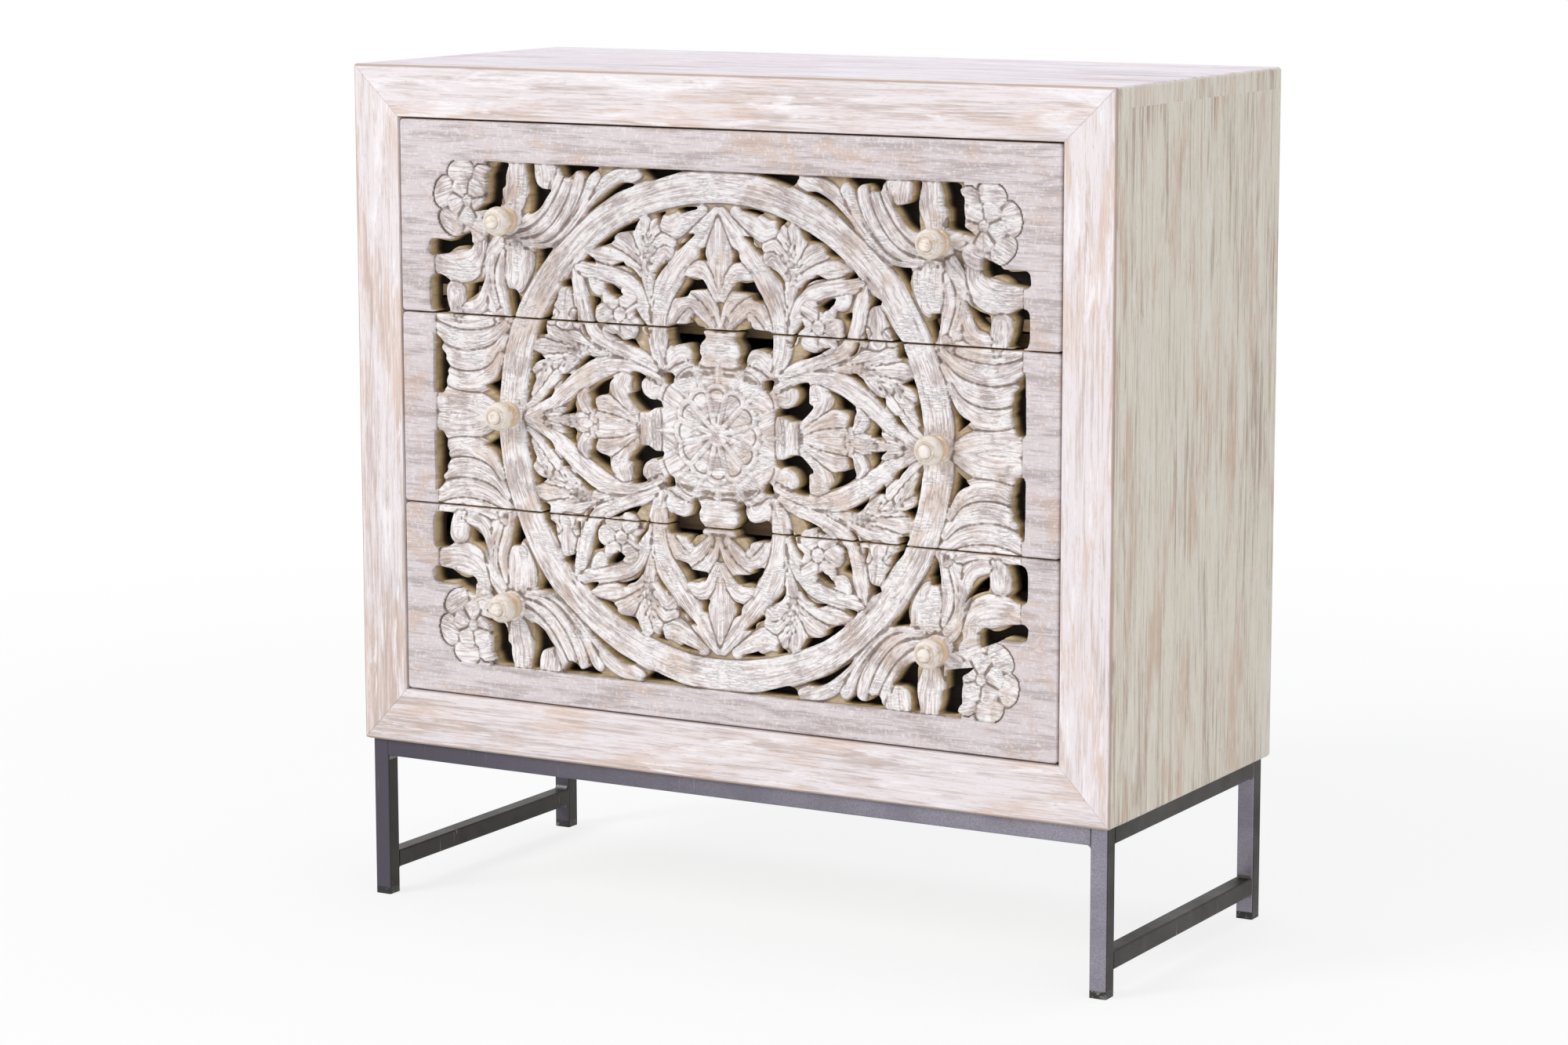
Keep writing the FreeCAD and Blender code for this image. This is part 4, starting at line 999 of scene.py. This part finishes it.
# painted highlight: bright white where a point lies higher than its surroundings
painted_highlight = add(tree, "Math", {0: on_plank["specks"], 1: hollow}, operation="SUBTRACT")
ragged = add(tree, "Math", {0: on_form["grain"], 1: 0.5, 2: on_form["brushed"]}, operation="MULTIPLY_ADD")
ragged = add(tree, "Math", {0: on_plank["where"], 1: 0.7, 2: ragged}, operation="MULTIPLY_ADD")
smudged = add(tree, "Math", {0: on_plank["fibres"], 1: 0.42, 2: on_plank["smudges"]},
              operation="MULTIPLY_ADD")
inwards, upwards = (add(tree, "SeparateXYZ", {0: spot}, out=axis) for axis in (1, 2))
painted = coats(tree, linear("#F8F3F0"), (
    (ragged, 1.02, 1.26, 0.72, "#B7A49C"), (on_plank["patches"], 0.52, 0.64, 0.45, "#CDB09A"),
    (on_form["grain"], 0.52, 0.72, 0.22, "#A2948F"), (painted_highlight, 0.75, 1.25, 0.4, "#FCF9F9"),
    (grime_and_painted_shade, 0.58, 1.20, 0.82, "#7A6757"), (cracked, 0.15, 1.0, 0.42, "#87746A"),
    (upwards, 420 * mm, 800 * mm, 0.13, "#8A7D86")))
washed = coats(tree, linear("#D6CCCC"), (
    (smudged, 0.64, 0.88, 0.75, "#A59994"), (on_plank["patches"], 0.52, 0.68, 0.60, "#CBB1A0"),
    (on_plank["specks"], 0.52, 0.66, 0.40, "#F0EBEB"), (on_plank["fibres"], 0.50, 0.72, 0.38, "#9B8C88"),
    (on_plank["hatching"], 0.54, 0.72, 0.14, "#F2EDEF")))
# painted shade: the sawn walls darken towards the back of each opening
painted_shade_inwards = add(tree, "MapRange", {0: inwards, 1: (front_y + 6) * mm, 2: (plank_back_y - 2) * mm})
sawn = coats(tree, linear("#DDC79D"), (
    (on_plank["sawn"], 0.40, 0.65, 0.7, "#B3966B"), (on_plank["saw_lines"], 0.52, 0.72, 0.4, "#6B5742"),
    (painted_shade_inwards, 0.35, 1.0, 0.92, "#2A211B")))
colour = add(tree, "Mix", {0: margin, 6: painted, 7: washed}, out=2, data_type="RGBA")
wall_start, wall_full = front_y + ground_deep - 1, front_y + ground_deep + edge_round
wall = add(tree, "MapRange", {0: inwards, 1: wall_start * mm, 2: wall_full * mm})
colour = add(tree, "Mix", {0: wall, 6: colour, 7: sawn}, out=2, data_type="RGBA")
relief = add(tree, "Math", {0: cracked, 1: -0.8, 2: on_plank["specks"]}, operation="MULTIPLY_ADD")
relief = add(tree, "Math", {0: on_form["grain"], 1: -0.8, 2: relief}, operation="MULTIPLY_ADD")
surface(tree, colour, relief, 0.5, on_form["brushed"], (0.66, 0.84), IOR=1.45)

for n, (low, high) in planks.items():
    points, faces, flows, hollows = carved_plank(low[2], high[2])
    piece(f"drawer_{n}_carving", points, faces, f"drawer_{n}", (f"drawer_{n}_carved_front",),
          chalk, {"flow": flows, "hollow": hollows}, sharp=50)

# KNOBS
# Turned mango wood, two on each drawer, screwed on from behind: a thin seat, a narrower neck and a ball
# with two turned lines round its tip, washed cream and worn to tan.
turned_line_out = 27.8
knob_wood, tree = emptied(bpy.data.materials.new("turned_mango_knob_cream_wash"))
spot = add(tree, "TexCoord", out="Object")
seen = patterns(tree, spot, {"swirls": ((20, 7, 7), 4.0, 1.0), "wear": ((6, 6, 6), 4.0, 0.0),
                             "turning_lines": ((20, 1.6, 20), 2.0, 0.0)})
depth = add(tree, "SeparateXYZ", {0: spot}, out=1)
towards_seat = add(tree, "Math", {0: seen["swirls"], 1: 14 * mm, 2: depth}, operation="MULTIPLY_ADD")
groove = add(tree, "MapRange", {0: off(tree, depth, (front_y - turned_line_out) * mm), 1: 0.2 * mm,
                                2: 1.2 * mm, 3: 1.0, 4: 0.0})
colour = coats(tree, linear("#EDE5DA"), (
    (seen["swirls"], 0.48, 0.66, 0.7, "#CFB799"),
    (towards_seat, (front_y - 18) * mm, (front_y - 4) * mm, 0.8, "#D9BD98"),
    (seen["turning_lines"], 0.52, 0.72, 0.40, "#A98F72"), (groove, 0.0, 1.0, 0.4, "#A58B6E"),
    (seen["wear"], 0.54, 0.66, 0.6, "#F6F1EA")))
surface(tree, colour, seen["turning_lines"], 0.2, seen["swirls"], (0.38, 0.55), IOR=1.45)

# (way out from the drawer, radius)
knob_turning = [(0.0, 13.4), (1.6, 13.8), (2.9, 13.2), (3.6, 12.0), (5.0, 10.8), (7.0, 11.0),
                (9.5, 13.0), (13.0, 15.0), (17.0, 15.5), (21.0, 15.0), (24.2, 13.5), (26.4, 11.9),
                (turned_line_out, 10.2), (28.3, 9.1), (28.1, 8.1), (27.7, 7.3), (28.4, 6.9), (30.1, 6.6),
                (31.2, 5.7), (31.8, 3.7)]
sides = 48
out, radius = np.array(knob_turning).T
steps = np.arange(sides)
way = steps * 2 * pi / sides
for n, (low, high) in planks.items():
    for side, sign in (("left", -1.0), ("right", 1.0)):
        # a turned profile, not quite round, closed at the tip by triangles
        wobble = 1 + 0.012 * np.sin(way + n * 1.7 + sign)
        cx, cz = sign * knob_out, (low[2] + high[2]) / 2
        turned = np.stack([cx + np.outer(radius, np.cos(way) * wobble), np.tile(front_y - out, (sides, 1)).T,
                           cz + np.outer(radius, np.sin(way) * wobble)], 2)
        points = np.vstack([turned.reshape(-1, 3), [[cx, knob_low[1], cz]]])
        faces = lofted(turned)
        last_ring, tip = (len(out) - 1) * sides, np.full(sides, len(points) - 1)
        faces[2] = np.stack([last_ring + steps, last_ring + (steps + 1) % sides, tip], 1)
        name = f"drawer_{n}_{side}_knob"
        piece(name + "_turning", points, faces, f"drawer_{n}", (name,), knob_wood, sharp=55)

low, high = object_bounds()
